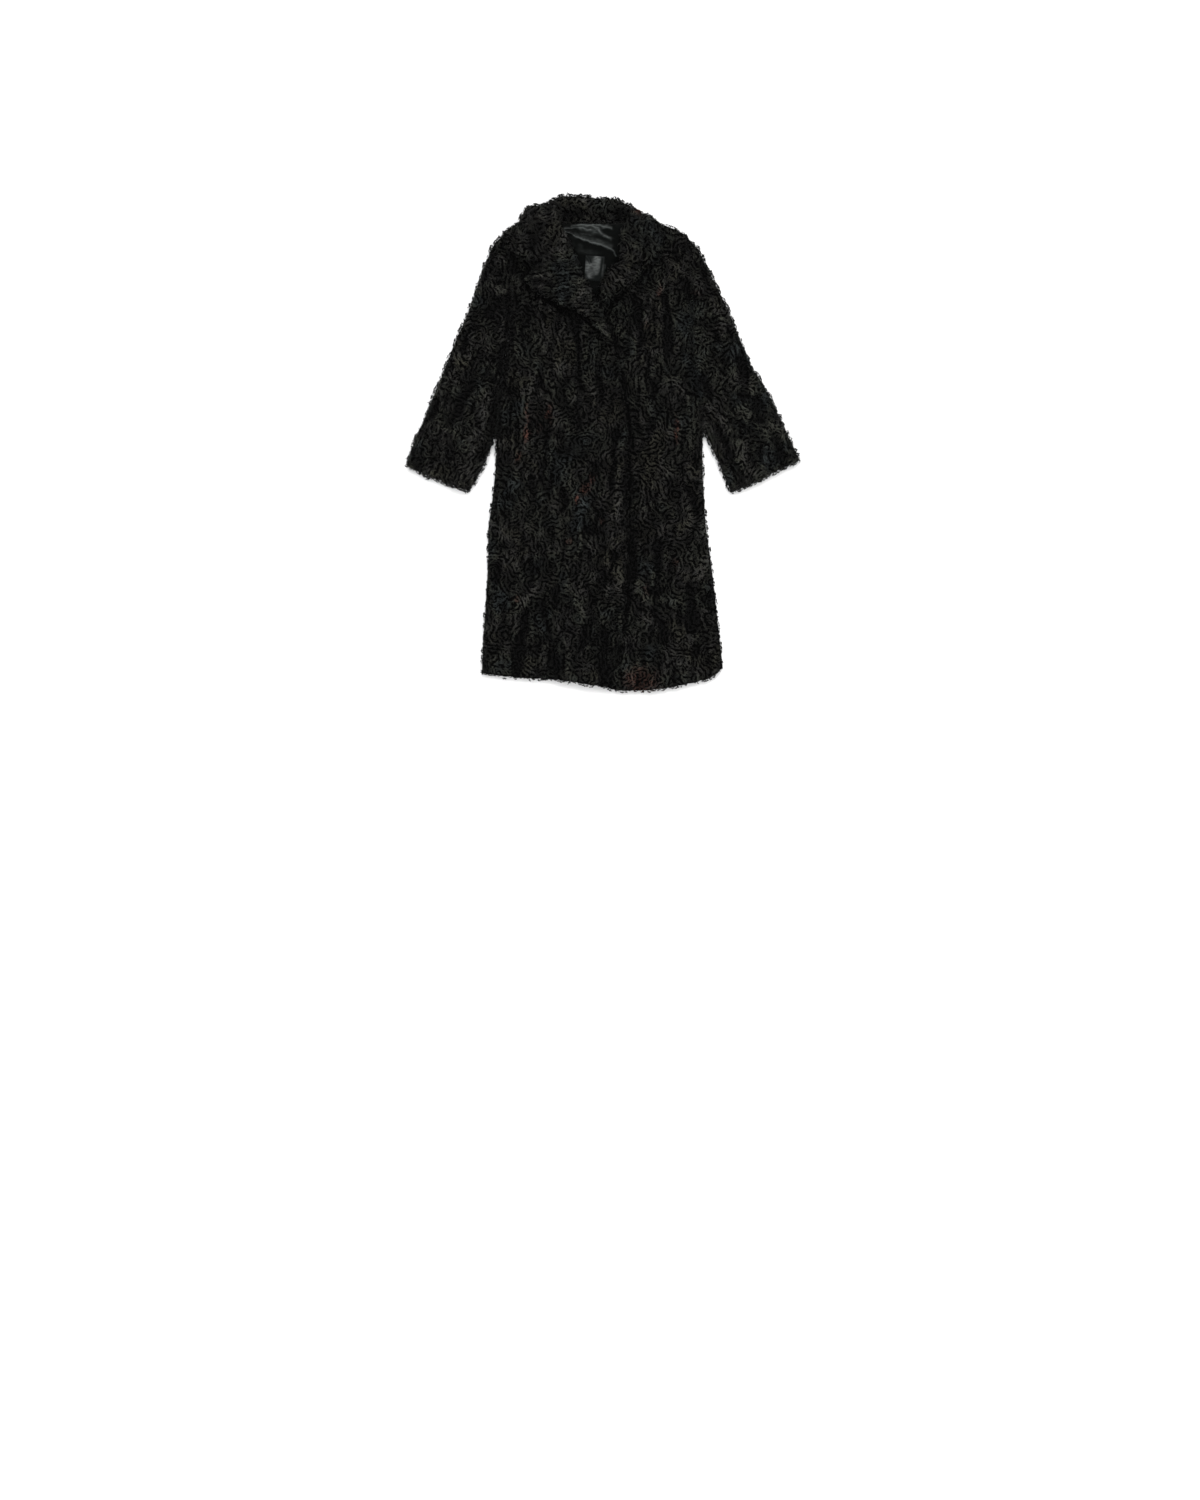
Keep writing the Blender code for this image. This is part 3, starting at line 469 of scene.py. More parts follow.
# ---------------------------------------------------------------- the pile
# The three tables are in millimetres, on the coat's X and Y.
# Faded patches: middle x, y | half width, half length | strength
MARKS = (
    (-171, 62, 4, 22, 0.6), (-172, 22, 5, 14, 0.9), (-122, 64, 6, 20, 0.6), (-144, 36, 6, 10, 0.4),
    (-192, -32, 5, 11, 0.6), (-26, -81, 6, 10, 0.85), (-40, -104, 9, 10, 0.7), (-56, -124, 6, 6, 0.9),
    (-3, -176, 5, 6, 0.4), (-75, -222, 6, 6, 0.4), (166, 30, 5, 22, 0.9), (129, 343, 6, 12, 0.45),
    (100, 270, 8, 12, 0.25), (85, -532, 30, 24, 0.65), (83, -558, 14, 9, 1.3), (161, -270, 6, 12, 0.3),
    (98, -330, 8, 14, 0.3), (-195, -350, 8, 8, 0.4), (78, 518, 9, 6, 0.7), (206, 335, 10, 8, 0.3),
)

# Slits between strips of skin, sunk into the pile and darkened with painted shade: ends x, y | half width |
# depth
VALLEYS = (
    (-84, 297, -62, 255, 12, 0.8), (-60, 250, -56, 150, 5, 0.9), (-212, 330, -216, 250, 7, 0.8),
    (-222, 215, -226, 165, 9, 1.0), (-238, 110, -246, 15, 10, 0.9), (-170, 305, -168, 270, 8, 0.8),
    (-143, 150, -142, 130, 6, 0.8), (70, 330, 78, 285, 9, 0.9), (78, 285, 87, 225, 6, 1.0),
    (140, 330, 142, 250, 6, 0.8), (143, 245, 144, 217, 11, 1.0), (97, 205, 99, 150, 5, 0.7),
    (113, 138, 114, 105, 6, 0.9), (43, 160, 46, 90, 4, 0.6), (56, 85, 58, 10, 4, 0.9),
    (55, -40, 54, -135, 7, 0.8), (29, 24, 28, 8, 7, 0.9), (24, 0, 17, -100, 5, 0.7),
    (-18, -50, -18, -66, 7, 1.0), (-52, 135, -50, 118, 6, 0.7), (-10, 145, -8, 90, 5, 0.5),
    (-59, 90, -58, 10, 6, 0.5), (-124, 30, -138, -85, 5, 0.5), (-90, -104, -91, -150, 6, 1.0),
    (-222, -122, -205, -124, 6, 0.7), (186, -103, 213, -150, 6, 0.9), (222, 140, 238, 108, 10, 0.9),
    (256, 40, 288, -35, 7, 0.8), (-14, -155, -20, -180, 7, 0.8), (-36, -196, -14, -198, 10, 1.2),
    (70, -196, 70, -204, 6, 0.8), (63, -225, 66, -300, 10, 0.8), (123, -228, 122, -262, 9, 1.1),
    (122, -262, 119, -308, 5, 0.8), (23, -246, 23, -260, 7, 0.9), (1, -280, 2, -322, 5, 0.7),
    (108, -336, 132, -334, 6, 0.8), (50, -322, 54, -376, 6, 0.8), (192, -322, 198, -360, 7, 0.8),
    (199, -385, 201, -412, 13, 1.0), (116, -376, 136, -436, 6, 0.9), (211, -460, 211, -470, 8, 0.8),
    (-162, -265, -161, -308, 5, 0.8), (-239, -270, -238, -310, 7, 0.6), (-170, -375, -184, -440, 8, 1.0),
    (-186, -440, -192, -515, 9, 0.9), (-124, -405, -116, -445, 7, 0.6), (-116, -474, -106, -515, 9, 0.9),
    (-42, -412, -51, -462, 5, 0.9), (3, -425, 2, -470, 7, 0.9), (-2, -495, 10, -545, 12, 0.9),
    (34, -461, 40, -461, 7, 0.8), (-112, -335, -111, -370, 6, 0.7), (-140, -358, -134, -385, 9, 0.6),
    (-206, 420, -205, 385, 9, 0.9), (-232, 322, -256, 294, 8, 0.9), (-306, 246, -316, 212, 7, 0.8),
    (-244, 142, -208, 114, 8, 0.6), (-302, 132, -316, 98, 8, 1.0), (-316, 98, -341, 48, 9, 1.0),
    (-374, 96, -383, 62, 8, 0.9), (-262, -8, -276, -36, 6, 0.7), (306, 184, 318, 156, 8, 1.1),
    (318, 156, 324, 132, 6, 0.9), (309, 108, 314, 102, 8, 0.9), (344, 102, 352, 80, 8, 0.9),
    (309, 48, 328, 24, 5, 0.8), (347, 50, 359, 52, 6, 0.8), (396, -4, 394, -34, 7, 0.7),
    (268, 186, 276, 154, 4, 0.7), (240, 266, 257, 228, 6, 0.7), (226, 386, 226, 374, 6, 0.8),
    (166, 420, 168, 412, 8, 0.8), (179, 368, 186, 350, 7, 0.8), (-163, 368, -114, 354, 5, 1.0),
    (-94, 306, -60, 268, 6, 1.2), (-60, 288, -20, 257, 4, 0.7), (-146, 328, -100, 306, 4, 0.6),
    (-19, 352, -19, 324, 6, 0.7), (-160, 470, -160, 438, 9, 0.9), (-80, 512, -52, 512, 9, 0.9),
    (34, 516, 36, 508, 8, 0.8), (-158, 408, -150, 400, 7, 0.9), (20, 310, 46, 337, 4, 0.6),
    (74, 356, 94, 384, 5, 0.6), (193, 355, 196, 326, 7, 0.8),
)

# Raised ridges of the pile, made pale with painted highlight: ends x, y | half width | height
STREAKS = (
    (-161, 142, -166, 100, 4, 0.4), (-172, 82, -174, 16, 4, 0.6), (94, 290, 96, 274, 8, 1.0),
    (33, -55, 30, -100, 5, 0.9), (29, -118, 31, -168, 7, 1.0), (-62, -120, -46, -140, 8, 0.8),
    (-54, -185, -54, -240, 3.5, 1.0), (30, -292, 33, -322, 10, 1.0), (10, -325, 8, -345, 7, 0.9),
    (111, -285, 112, -318, 5, 1.1), (79, -318, 80, -328, 9, 0.9), (91, -338, 92, -350, 7, 0.8),
    (-156, -332, -188, -366, 7, 1.1), (-61, -360, -44, -386, 6, 0.8), (229, -262, 212, -300, 10, 1.0),
    (222, -190, 226, -200, 8, 0.8), (193, -145, 196, -180, 11, 0.6), (150, -357, 172, -358, 7, 0.7),
    (60, -505, 64, -520, 15, 0.3), (150, 145, 155, 130, 7, 0.6), (-236, 348, -238, 338, 7, 0.9),
    (128, 362, 130, 346, 6, 0.9), (-38, -455, -40, -466, 4, 0.8), (-110, 195, -104, 170, 6, 0.6),
    (-276, 124, -262, 100, 8, 0.9), (-270, 70, -273, 30, 5, 0.9), (-352, 31, -332, 26, 7, 0.7),
    (-320, 194, -324, 180, 9, 0.6), (-284, 244, -272, 240, 14, 0.4), (-243, 174, -242, 164, 6, 0.7),
    (313, 80, 321, 60, 10, 1.1), (286, 180, 295, 148, 5, 0.8), (248, 176, 254, 158, 6, 0.7),
    (300, 224, 303, 208, 7, 0.8), (332, 130, 338, 112, 8, 0.8), (302, -4, 306, -36, 10, 0.9),
    (270, 278, 275, 266, 8, 0.5), (384, 34, 388, 26, 10, 0.5), (-175, 370, -140, 375, 3, 0.7),
    (-94, 314, -72, 296, 3.2, 1.6), (-18, 267, 12, 238, 3.2, 1.6), (70, 366, 82, 386, 3.5, 1.6),
    (-60, 540, -40, 541, 7, 0.7), (-10, 538, 4, 537, 6, 0.7), (-54, 343, -38, 336, 3, 1.2),
    (-58, 330, -42, 336, 3, 1.0), (-98, 420, -86, 470, 6, 0.5),
)
STROKE_BOW = 3.0    # how far the middle of a slit or ridge is pushed towards +X


def strokes(points: Array, wobble: float, size: float, seed: int, valley: float, streak: float) -> Array:
    """Add up bell-shaped slits and ridges along the lines of the two tables.

    Args:
        points: the places.
        wobble: how far noise moves the places, so that the lines' sides are ragged, metres.
        size: size of that noise, metres.
        seed: picks its pattern.
        valley: what a slit of depth 1 takes away.
        streak: what a ridge of height 1 adds.

    Returns:
        What all lines together add at each place.
    """
    ragged = (points + wobble * (soft_noise(points, size, seed)[..., None] - 0.5)) / MM
    total = np.zeros(points.shape[:-1])
    for lines, strength in ((VALLEYS, -valley), (STREAKS, streak)):
        for x0, y0, x1, y1, half_width, height in lines:
            line = np.array([(x0, y0), (0.5 * (x0 + x1) + STROKE_BOW, 0.5 * (y0 + y1)), (x1, y1)])
            total += strength * height * np.exp(-(away_from_line(ragged, line) / half_width) ** 2)
    return total


@dataclass(frozen=True)
class Pile:
    """The fields that a fur piece's curl follows: height, flow, gloss, which is painted sheen, and fading.

    The grain is the way that the strips of skin run, as an angle in plan, and the stretch is
    how much longer than wide the tufts are.  Rises, slits and grooves are shares of the full
    height, and the swirls are the flow field's own metres.
    """

    seed: int = SEED
    grain: float = 0.5 * np.pi
    stretch: float = 2.3
    clump: float = 0.024
    swirl: float = 1.0
    slow_swirl: float = 0.044
    fast_swirl: float = 0.010
    across: float = 0.17
    down: float = 0.22
    strip: float = 0.030
    ridge: float = 0.0062
    base: float = 0.10
    clump_rise: float = 0.12
    tuft_rise: float = 0.40
    slits: float = 0.65
    slit_width: float = 0.055
    grooves: float = 0.40
    # painted sheen in the curl's colour: an even base, wide and close patches, and a painted highlight on the
    # high tufts
    shine: float = 0.15
    wide_gloss: float = 0.035
    close_gloss: float = 0.22
    tuft_painted_highlight: float = 0.42

    def along_grain(self, points: Array) -> Array:
        """Turn places so that the strips run along the second axis."""
        turn = 0.5 * np.pi - self.grain
        cos, sin = np.cos(turn), np.sin(turn)
        x, y = points[..., 0], points[..., 1]
        return np.stack([cos * x - sin * y, sin * x + cos * y, points[..., 2]], axis=-1)

    def drawn_out(self, points: Array) -> Array:
        """Turn places along the grain and shorten them there, so that noise comes out stretched."""
        return self.along_grain(points) * (1.0, 1.0 / self.stretch, 1.0)

    def height(self, points: Array) -> Array:
        """Return the height of the pile, from -1 in the deepest slits to 1 on the tufts.

        Clumps and tufts are sharpened noise drawn out along the grain.  A web of slits lies
        where another noise passes through its middle value, and the strips of skin meet in
        broken grooves.  The slits and ridges of the tables come on top.
        """
        turned, drawn = self.along_grain(points), self.drawn_out(points)
        clump = 2.0 * patches(drawn, self.clump, self.seed + 11, 0.30, 0.70) - 1.0
        tuft = 2.0 * patches(drawn, 0.42 * self.clump, self.seed + 12) - 1.0
        middle = soft_noise(drawn, 0.8 * self.clump, self.seed + 13) - 0.5
        web = np.exp(-(middle / self.slit_width) ** 2) * patches(points, 0.040, self.seed + 14, 0.35, 0.60)
        wander = 0.014 * (soft_noise(turned, 0.10, self.seed + 5) - 0.5)
        strip = np.cos(2.0 * np.pi * (turned[..., 0] + wander) / self.strip)
        groove = smooth_step(0.80, 1.0, strip) * patches(points, 0.055, self.seed + 15, 0.40, 0.65)
        total = self.base + self.clump_rise * clump + self.tuft_rise * tuft - self.slits * web
        total += strokes(points, 0.010, 0.020, 3, 1.5, 0.9) - self.grooves * groove
        return np.clip(total, -1.0, 1.0)

    def flow(self, points: Array) -> Array:
        """Return the field whose level lines, one ridge apart, are the rows of curl.

        It is a slow swirl and a fast one on an even slope.
        """
        turned = self.along_grain(points)
        slow = self.slow_swirl * self.swirl * soft_noise(points, 0.040, self.seed + 21)
        fast = self.fast_swirl * self.swirl * soft_noise(points, 0.013, self.seed + 22)
        return slow + fast + self.down * turned[..., 0] + self.across * turned[..., 1]

    def slope(self, points: Array, side: Array, other: Array, step: float = 0.0015) -> tuple[Array, Array]:
        """Return how fast the flow field rises along two directions at each place."""
        along, athwart = ((self.flow(points + step * way) - self.flow(points - step * way)) / (2.0 * step)
                          for way in (side, other))
        return along, athwart

    def gloss(self, points: Array) -> Array:
        """Return the painted sheen that lightens the curl's colour, in soft patches drawn out along the
        grain, lightest on the high tufts, with painted shade in the slits and painted highlight on the ridges
        of the tables.
        """
        drawn = self.drawn_out(points)
        wide = patches(drawn, 1.25 * self.clump, self.seed + 41)
        close = patches(drawn, 0.45 * self.clump, self.seed + 42)
        high = smooth_step(-0.9, 0.9, self.height(points))
        total = self.shine + self.wide_gloss * wide + self.close_gloss * close + self.tuft_painted_highlight * high
        return np.clip(total + strokes(points, 0.008, 0.014, 4, 0.75, 0.5), 0.0, 1.0)

    def fading(self, points: Array) -> Array:
        """Return how far the dye has faded to red-brown, from 0 to 1."""
        ragged = 0.012 * (soft_noise(points, 0.012, self.seed + 31)[..., None] - 0.5)
        moved = (points[..., :2] + ragged) / MM
        total = np.zeros(points.shape[:-1])
        for x, y, half_width, half_length, strength in MARKS:
            away = np.hypot((moved[..., 0] - x) / half_width, (moved[..., 1] - y) / half_length)
            total = np.maximum(total, strength * np.exp(-0.7 * away ** 2))
        return np.clip(total, 0.0, 1.0)


# ---------------------------------------------------------------- locks
@dataclass(frozen=True)
class Spots:
    """Where locks stand: places, the way the face looks, the lee they are in, and seams."""

    points: Array
    normals: Array
    shade: Array
    seam: Array

    def picked(self, pick: Array) -> "Spots":
        """Return some of the spots, by number or by a true and false array."""
        return Spots(self.points[pick], self.normals[pick], self.shade[pick], self.seam[pick])


@dataclass(frozen=True)
class LockStyle:
    """Sizes of one kind of lock, metres and radians.

    Locks stand one spacing apart, with their tips sunk below the solid's face, and follow the
    pile up and down.  At the rims they stand out by the fringe, and at a hem by the hang too.
    A tip drops by a share of the radius, and the section is flattened.  Scatter, tilt and roll
    are chance in the angles, the tint is chance in the tone, and loose curl is longer and thinner.
    """

    spacing: float = 0.0039
    length: float = 0.0092
    radius: float = 0.00130
    turn: float = 1.5
    arch: float = 0.0016
    sink: float = 0.0024
    pile: float = 0.0030
    fringe: float = 0.0032
    hang: float = 0.0024
    seam_rise: float = 0.0025
    rings: int = 2
    scatter: float = 0.48
    tilt: float = 0.16
    roll: float = 0.5
    tip_drop: float = 0.9
    flatness: float = 0.85
    loose_length: float = 0.65
    loose_radius: float = -0.12
    tint: float = 0.28
    # painted shade in the locks' colour: darker rim walls, and darker locks in the lee of a higher edge
    rim_painted_shade: float = 0.35
    shade_dark: float = 0.28
    shade_sink: float = 0.5


class Lie(Enum):
    """How the curl of a piece lies: tight all over, or loosening towards the cuff."""

    TIGHT = "tight"
    LOOSENING = "loosening"


class Locks:
    """Small closed horns, bent in plan and arched, all joined in a few meshes."""

    MOST = 12000            # locks in one mesh
    VARY = (0.7, 1.3)       # chance in a lock's length, radius and arch
    LEAST_SLOPE = 0.25
    ROW_REACH = 0.0024      # a lock moves at most this far to its row
    ROW_SCATTER = 0.0011
    LOOSE_BELOW = 0.22      # the curl of the sleeves loosens from this y down to 0
    MOST_TURN, LEAST_TURN = 3.6, 0.15
    LEAN_STEP = 0.003
    FLOOR = 0.0002          # no lock reaches lower
    STRANDS = 8             # the hair's pattern starts at one of this many places

    def __init__(self, style: LockStyle, pile: Pile, lie: Lie) -> None:
        """Keep the sizes, the fields to follow, and how the curl lies."""
        self.style = style
        self.pile = pile
        self.lie = lie

    def template(self) -> tuple[Array, Array, Array, Array, Array]:
        """Return one lock's shares along and around, its widths, triangles and corner places.

        Rings of three points run from -1 to 1 between two tips.
        """
        rings = self.style.rings
        stations = np.linspace(-1.0, 1.0, rings + 2)
        along = np.concatenate([[-1.0], np.repeat(stations[1:-1], 3), [1.0]])
        around = np.concatenate([[0.0], np.tile(np.arange(3) * 2.0 * np.pi / 3.0, rings), [0.0]])
        width = np.sqrt(np.clip(1.0 - along ** 2, 0.0, 1.0)) ** 0.7
        last = 3 * rings + 1
        triangles, uv = [], []
        for k in range(3):
            nxt = (k + 1) % 3
            triangles += [(0, 1 + nxt, 1 + k), (last, last - 3 + k, last - 3 + nxt)]
            uv += [((k + 0.5, 0.0), (k + 1.0, 1.0), (k, 1.0)),
                   ((k + 0.5, rings + 1.0), (k, rings), (k + 1.0, rings))]
            for ring in range(rings - 1):
                a, b = 1 + 3 * ring + k, 1 + 3 * ring + nxt
                triangles += [(a, b, b + 3), (a, b + 3, a + 3)]
                low, high = ring + 1.0, ring + 2.0
                uv += [((k, low), (k + 1.0, low), (k + 1.0, high)), ((k, low), (k + 1.0, high), (k, high))]
        return along, around, width, np.array(triangles), np.array(uv) * (1.0 / 3.0, 1.0 / (rings + 1.0))

    def looseness(self, points: Array) -> Array:
        """Return how loose the curl is: in patches on the body, rising to 1 at the cuffs."""
        if self.lie is Lie.TIGHT:
            return 0.5 * patches(points, 0.035, 41, 0.62, 0.80)
        patchy = 0.25 + 0.75 * patches(points, 0.04, 42, 0.35, 0.65)
        return smooth_step(self.LOOSE_BELOW, 0.0, points[:, 1]) * patchy

    def row_angle(self, spots: Array, side: Array, other: Array) -> Array:
        """Return the way that the rows of curl run at each place."""
        along, athwart = self.pile.slope(spots, side, other)
        return np.arctan2(along, -athwart)

    def stance(self, spots: Array, side: Array, other: Array, length: Array, rng: np.random.Generator
               ) -> tuple[Array, Array, Array]:
        """Move locks onto the rows of curl and turn them along these, or down the grain where loose.

        Each place moves up or down the flow field's slope to the nearest level line of a row,
        and scatters about it.  The angle is square to the slope, and the turn is how far that
        angle changes from one end of the lock to the other, with some chance in both.

        Args:
            spots: the locks' middles.
            side: first direction of the fur's plane at each.
            other: second direction.
            length: the locks' lengths.
            rng: the source of chance.

        Returns:
            The moved places, and each lock's angle and turn.
        """
        drawn = smooth_step(0.3, 0.8, self.looseness(spots))
        along, athwart = self.pile.slope(spots, side, other)
        steep = np.maximum(np.hypot(along, athwart), self.LEAST_SLOPE)
        level = self.pile.flow(spots) / self.pile.ridge
        miss = (np.round(level) - level) * self.pile.ridge / steep
        miss = np.clip(miss, -self.ROW_REACH, self.ROW_REACH) + rng.normal(0.0, self.ROW_SCATTER, len(spots))
        spots = spots + miss[:, None] * (along[:, None] * side + athwart[:, None] * other) / steep[:, None]
        angle = np.arctan2(along, -athwart)
        way = side * np.cos(angle)[:, None] + other * np.sin(angle)[:, None]
        ahead, behind = (self.row_angle(spots + sign * 0.4 * length[:, None] * way, side, other)
                         for sign in (1.0, -1.0))
        turn = 1.2 * ((ahead - behind + np.pi) % (2.0 * np.pi) - np.pi)
        down = self.pile.grain + 0.7 * np.pi * (soft_noise(spots, 0.021, 44) - 0.5)
        angle = angle + drawn * (((down - angle + 0.5 * np.pi) % np.pi) - 0.5 * np.pi)
        angle = angle + self.style.scatter * rng.normal(0.0, 1.0, len(spots))
        curl = self.style.turn * rng.normal(0.0, 0.5, len(spots))
        turn = np.clip((1.0 - 0.6 * drawn) * turn + curl, -self.MOST_TURN, self.MOST_TURN)
        return spots, angle, np.where(np.abs(turn) < self.LEAST_TURN, self.LEAST_TURN, turn)

    def leant(self, spots: Array, normals: Array) -> Array:
        """Lean the normals of level places off the slopes of the pile."""
        side, other = across_frame(normals)
        level = self.pile.height(spots)
        rises = [(self.pile.height(spots + self.LEAN_STEP * way) - level) * self.style.pile / self.LEAN_STEP
                 for way in (side, other)]
        lean = rises[0][:, None] * side + rises[1][:, None] * other
        return unit(normals - (1.0 - steep_share(normals))[:, None] * lean)

    def shape(self, where: Spots, rng: np.random.Generator) -> tuple[Soup, dict[str, Array], Array]:
        """Work out every lock at once.

        The middle line is an arc in the plane of the fur, of the style's length and turn, whose
        height is a parabola from the sunken tips to the arch.  The three-sided section shrinks
        towards the tips.

        Args:
            where: the locks' middles on the solid's face, and what is around them.
            rng: the source of chance.

        Returns:
            The joined surface, its attributes by point, and its corner places.
        """
        spots, normals, shade = where.points, where.normals, where.shade
        style, count = self.style, len(spots)
        along, around, width, triangles, uv = self.template()
        loose, edge = self.looseness(spots), steep_share(normals)
        vary = rng.uniform(*self.VARY, (3, count))
        height = np.clip(self.pile.height(spots) - style.shade_sink * shade, -1.0, 1.0)
        length = style.length * (1.0 + style.loose_length * loose) * vary[0]
        radius = (style.radius * (1.0 + style.loose_radius * loose) * vary[1])[:, None]
        arch = (style.arch * vary[2])[:, None]
        spots, angle, turn = self.stance(spots, *across_frame(normals), length, rng)
        normals = self.leant(spots, normals)
        side, other = across_frame(normals)
        run = side * np.cos(angle)[:, None] + other * np.sin(angle)[:, None]
        wide = np.cross(normals, run)

        turn = turn[:, None]
        bend = 0.5 * turn * along
        bow = length[:, None] / turn
        forward = bow * np.sin(bend)
        sideways = bow * (1.0 - np.cos(bend)) - bow * (1.0 - np.cos(0.3 * turn))
        rise = arch * (1.0 - along ** 2) - style.tip_drop * radius * along ** 2
        tufted = patches(spots, TUFT_SIZE, TUFT_SEED)
        ragged = style.fringe * edge * (1.7 * tufted - 0.4 + 0.4 * rng.random(count))
        ragged = ragged + style.hang * hem_share(normals) * edge + style.seam_rise * where.seam
        rise = rise + (style.pile * height * (1.0 - 0.7 * edge) - style.sink + ragged)[:, None]
        tilt = rng.normal(0.0, style.tilt, (2, count, 1)) * (1.0 + 1.2 * edge[:, None])
        rise = rise + tilt[0] * forward + tilt[1] * sideways
        roll = around + style.roll * rng.normal(0.0, 1.0, (count, 1))
        across = width * radius * np.cos(roll)
        forward = forward - across * np.sin(bend)
        sideways = sideways + across * np.cos(bend)
        rise = rise + width * radius * np.sin(roll) * style.flatness

        points = (spots[:, None] + forward[..., None] * run[:, None] + sideways[..., None] * wide[:, None]
                  + rise[..., None] * normals[:, None])
        points[..., 2] = np.maximum(points[..., 2], self.FLOOR)
        per_lock = len(along)
        faces = triangles + per_lock * np.arange(count)[:, None, None]
        # the tone carries the painted sheen and a random tint, less painted shade on the rim walls and under
        # a higher edge
        tone = self.pile.gloss(spots) + style.tint * (rng.random(count) - 0.5)
        tone = tone - style.rim_painted_shade * edge - style.shade_dark * shade
        fade = 1.6 * self.pile.fading(spots) * np.sqrt(rng.random(count))
        # the depth follows each point's height in the pile, and the colour group paints the low points darker
        # as painted shade
        attributes = {
            "tone": np.repeat(np.clip(tone, 0.0, 1.0), per_lock),
            "depth": smooth_step(-0.0062, 0.0014, rise).ravel(),
            "fade": np.repeat(np.clip(fade, 0.0, 1.0), per_lock),
        }
        corner_uv = uv + np.floor(rng.random((count, 1, 1, 2)) * (0.0, self.STRANDS))
        return Soup(points.reshape(-1, 3), faces.reshape(-1, 3)), attributes, corner_uv.reshape(-1, 2)

    def grow(self, name: str, where: Spots, material: bpy.types.Material,
             rng: np.random.Generator) -> list[bpy.types.Object]:
        """Grow the locks of one node, from the collar down, in as many meshes as the count asks for."""
        made = []
        order = np.argsort(-where.points[:, 1], kind="stable")
        parts = max(int(np.ceil(len(order) / self.MOST)), 1)
        for number, pick in enumerate(np.array_split(order, parts), start=1):
            soup, attributes, uv = self.shape(where.picked(pick), rng)
            label = f"{name}_{number}" if parts > 1 else name
            made.append(make_piece(label, soup, material, attributes, uv))
        return made


def one_per_cell(spots: Array, size: Array) -> Array:
    """Pick the first place in each cube of a grid, so that places lie about evenly.

    Args:
        spots: the places, in random order.
        size: the side of the cube wanted at each place.

    Returns:
        The numbers of the places kept.
    """
    key = np.floor(spots / size[:, None]).astype(np.int64)
    key = np.column_stack([key, np.round(size * 1e5).astype(np.int64)])
    _, first = np.unique(key, axis=0, return_index=True)
    return np.sort(first)


# ---------------------------------------------------------------- shader groups and finishes
class Wiring:
    """Short ways to add nodes to one tree."""

    def __init__(self, tree: bpy.types.NodeTree) -> None:
        """Keep the tree."""
        self.tree = tree

    def feed(self, node: bpy.types.Node, values: dict) -> bpy.types.Node:
        """Set a node's inputs, by name or number, to values or to other nodes' results."""
        for key, value in values.items():
            socket = node.inputs[key]
            if isinstance(value, bpy.types.NodeSocket):
                self.tree.links.new(value, socket)
            else:
                socket.default_value = value
        return node

    def add(self, kind: str, values: dict | None = None, **settings: object) -> bpy.types.Node:
        """Add a node, set its properties and the values or links of its inputs."""
        node = self.tree.nodes.new(kind)
        for key, value in settings.items():
            setattr(node, key, value)
        return self.feed(node, values or {})

    def math(self, operation: str, *values: object) -> bpy.types.NodeSocket:
        """Add a sum, product or the like, and return its result."""
        return self.add("ShaderNodeMath", dict(enumerate(values)), operation=operation).outputs[0]

    def vectors(self, operation: str, *values: object) -> bpy.types.NodeSocket:
        """Add a sum or product of vectors, and return its result."""
        return self.add("ShaderNodeVectorMath", dict(enumerate(values)), operation=operation).outputs[0]

    def noise(self, place: bpy.types.NodeSocket, scale: float, detail: float, **more: float
              ) -> bpy.types.NodeSocket:
        """Add noise, and return its value."""
        inputs = {"Vector": place, "Scale": scale, "Detail": detail, **more}
        return self.add("ShaderNodeTexNoise", inputs).outputs["Fac"]

    def bump(self, height: bpy.types.NodeSocket, strength: float, distance: float) -> bpy.types.NodeSocket:
        """Turn heights into a normal."""
        inputs = {"Height": height, "Strength": strength, "Distance": distance}
        return self.add("ShaderNodeBump", inputs).outputs["Normal"]

    def spread(self, value: bpy.types.NodeSocket, low: float, high: float, to_low: float,
               to_high: float) -> bpy.types.NodeSocket:
        """Map a value from one range to another, held at its ends."""
        inputs = {"Value": value, "From Min": low, "From Max": high, "To Min": to_low, "To Max": to_high}
        return self.add("ShaderNodeMapRange", inputs).outputs["Result"]

    def ramp(self, value: bpy.types.NodeSocket, *stops: tuple[float, tuple | float]) -> bpy.types.NodeSocket:
        """Turn a value into a colour or a grey between stops."""
        node = self.add("ShaderNodeValToRGB", {"Fac": value})
        elements = node.color_ramp.elements
        while len(elements) < len(stops):
            elements.new(0.5)
        for element, (place, colour) in zip(elements, stops):
            element.position = place
            element.color = (*np.broadcast_to(colour, 3), 1.0)
        return node.outputs["Color"]

    def blend(self, share: object, first: object, second: object, mode: str = "MIX") -> bpy.types.NodeSocket:
        """Mix two colours."""
        node = self.add("ShaderNodeMix", data_type="RGBA", blend_type=mode)
        number = {socket.identifier: index for index, socket in enumerate(node.inputs)}
        self.feed(node, {number["Factor_Float"]: share, number["A_Color"]: first, number["B_Color"]: second})
        return next(socket for socket in node.outputs if socket.identifier == "Result_Color")

    def attribute(self, name: str) -> bpy.types.NodeSocket:
        """Read a number that the mesh carries."""
        return self.add("ShaderNodeAttribute", attribute_name=name, attribute_type="GEOMETRY").outputs["Fac"]

    def place(self) -> bpy.types.NodeSocket:
        """Read the place on the piece, in its own metres."""
        return self.add("ShaderNodeTexCoord").outputs["Object"]


def start_material(name: str) -> tuple[bpy.types.Material, Wiring, bpy.types.Node]:
    """Start a material, and return it with its wiring and its shader."""
    material = bpy.data.materials.new(name)
    material.use_nodes = True
    return material, Wiring(material.node_tree), material.node_tree.nodes["Principled BSDF"]


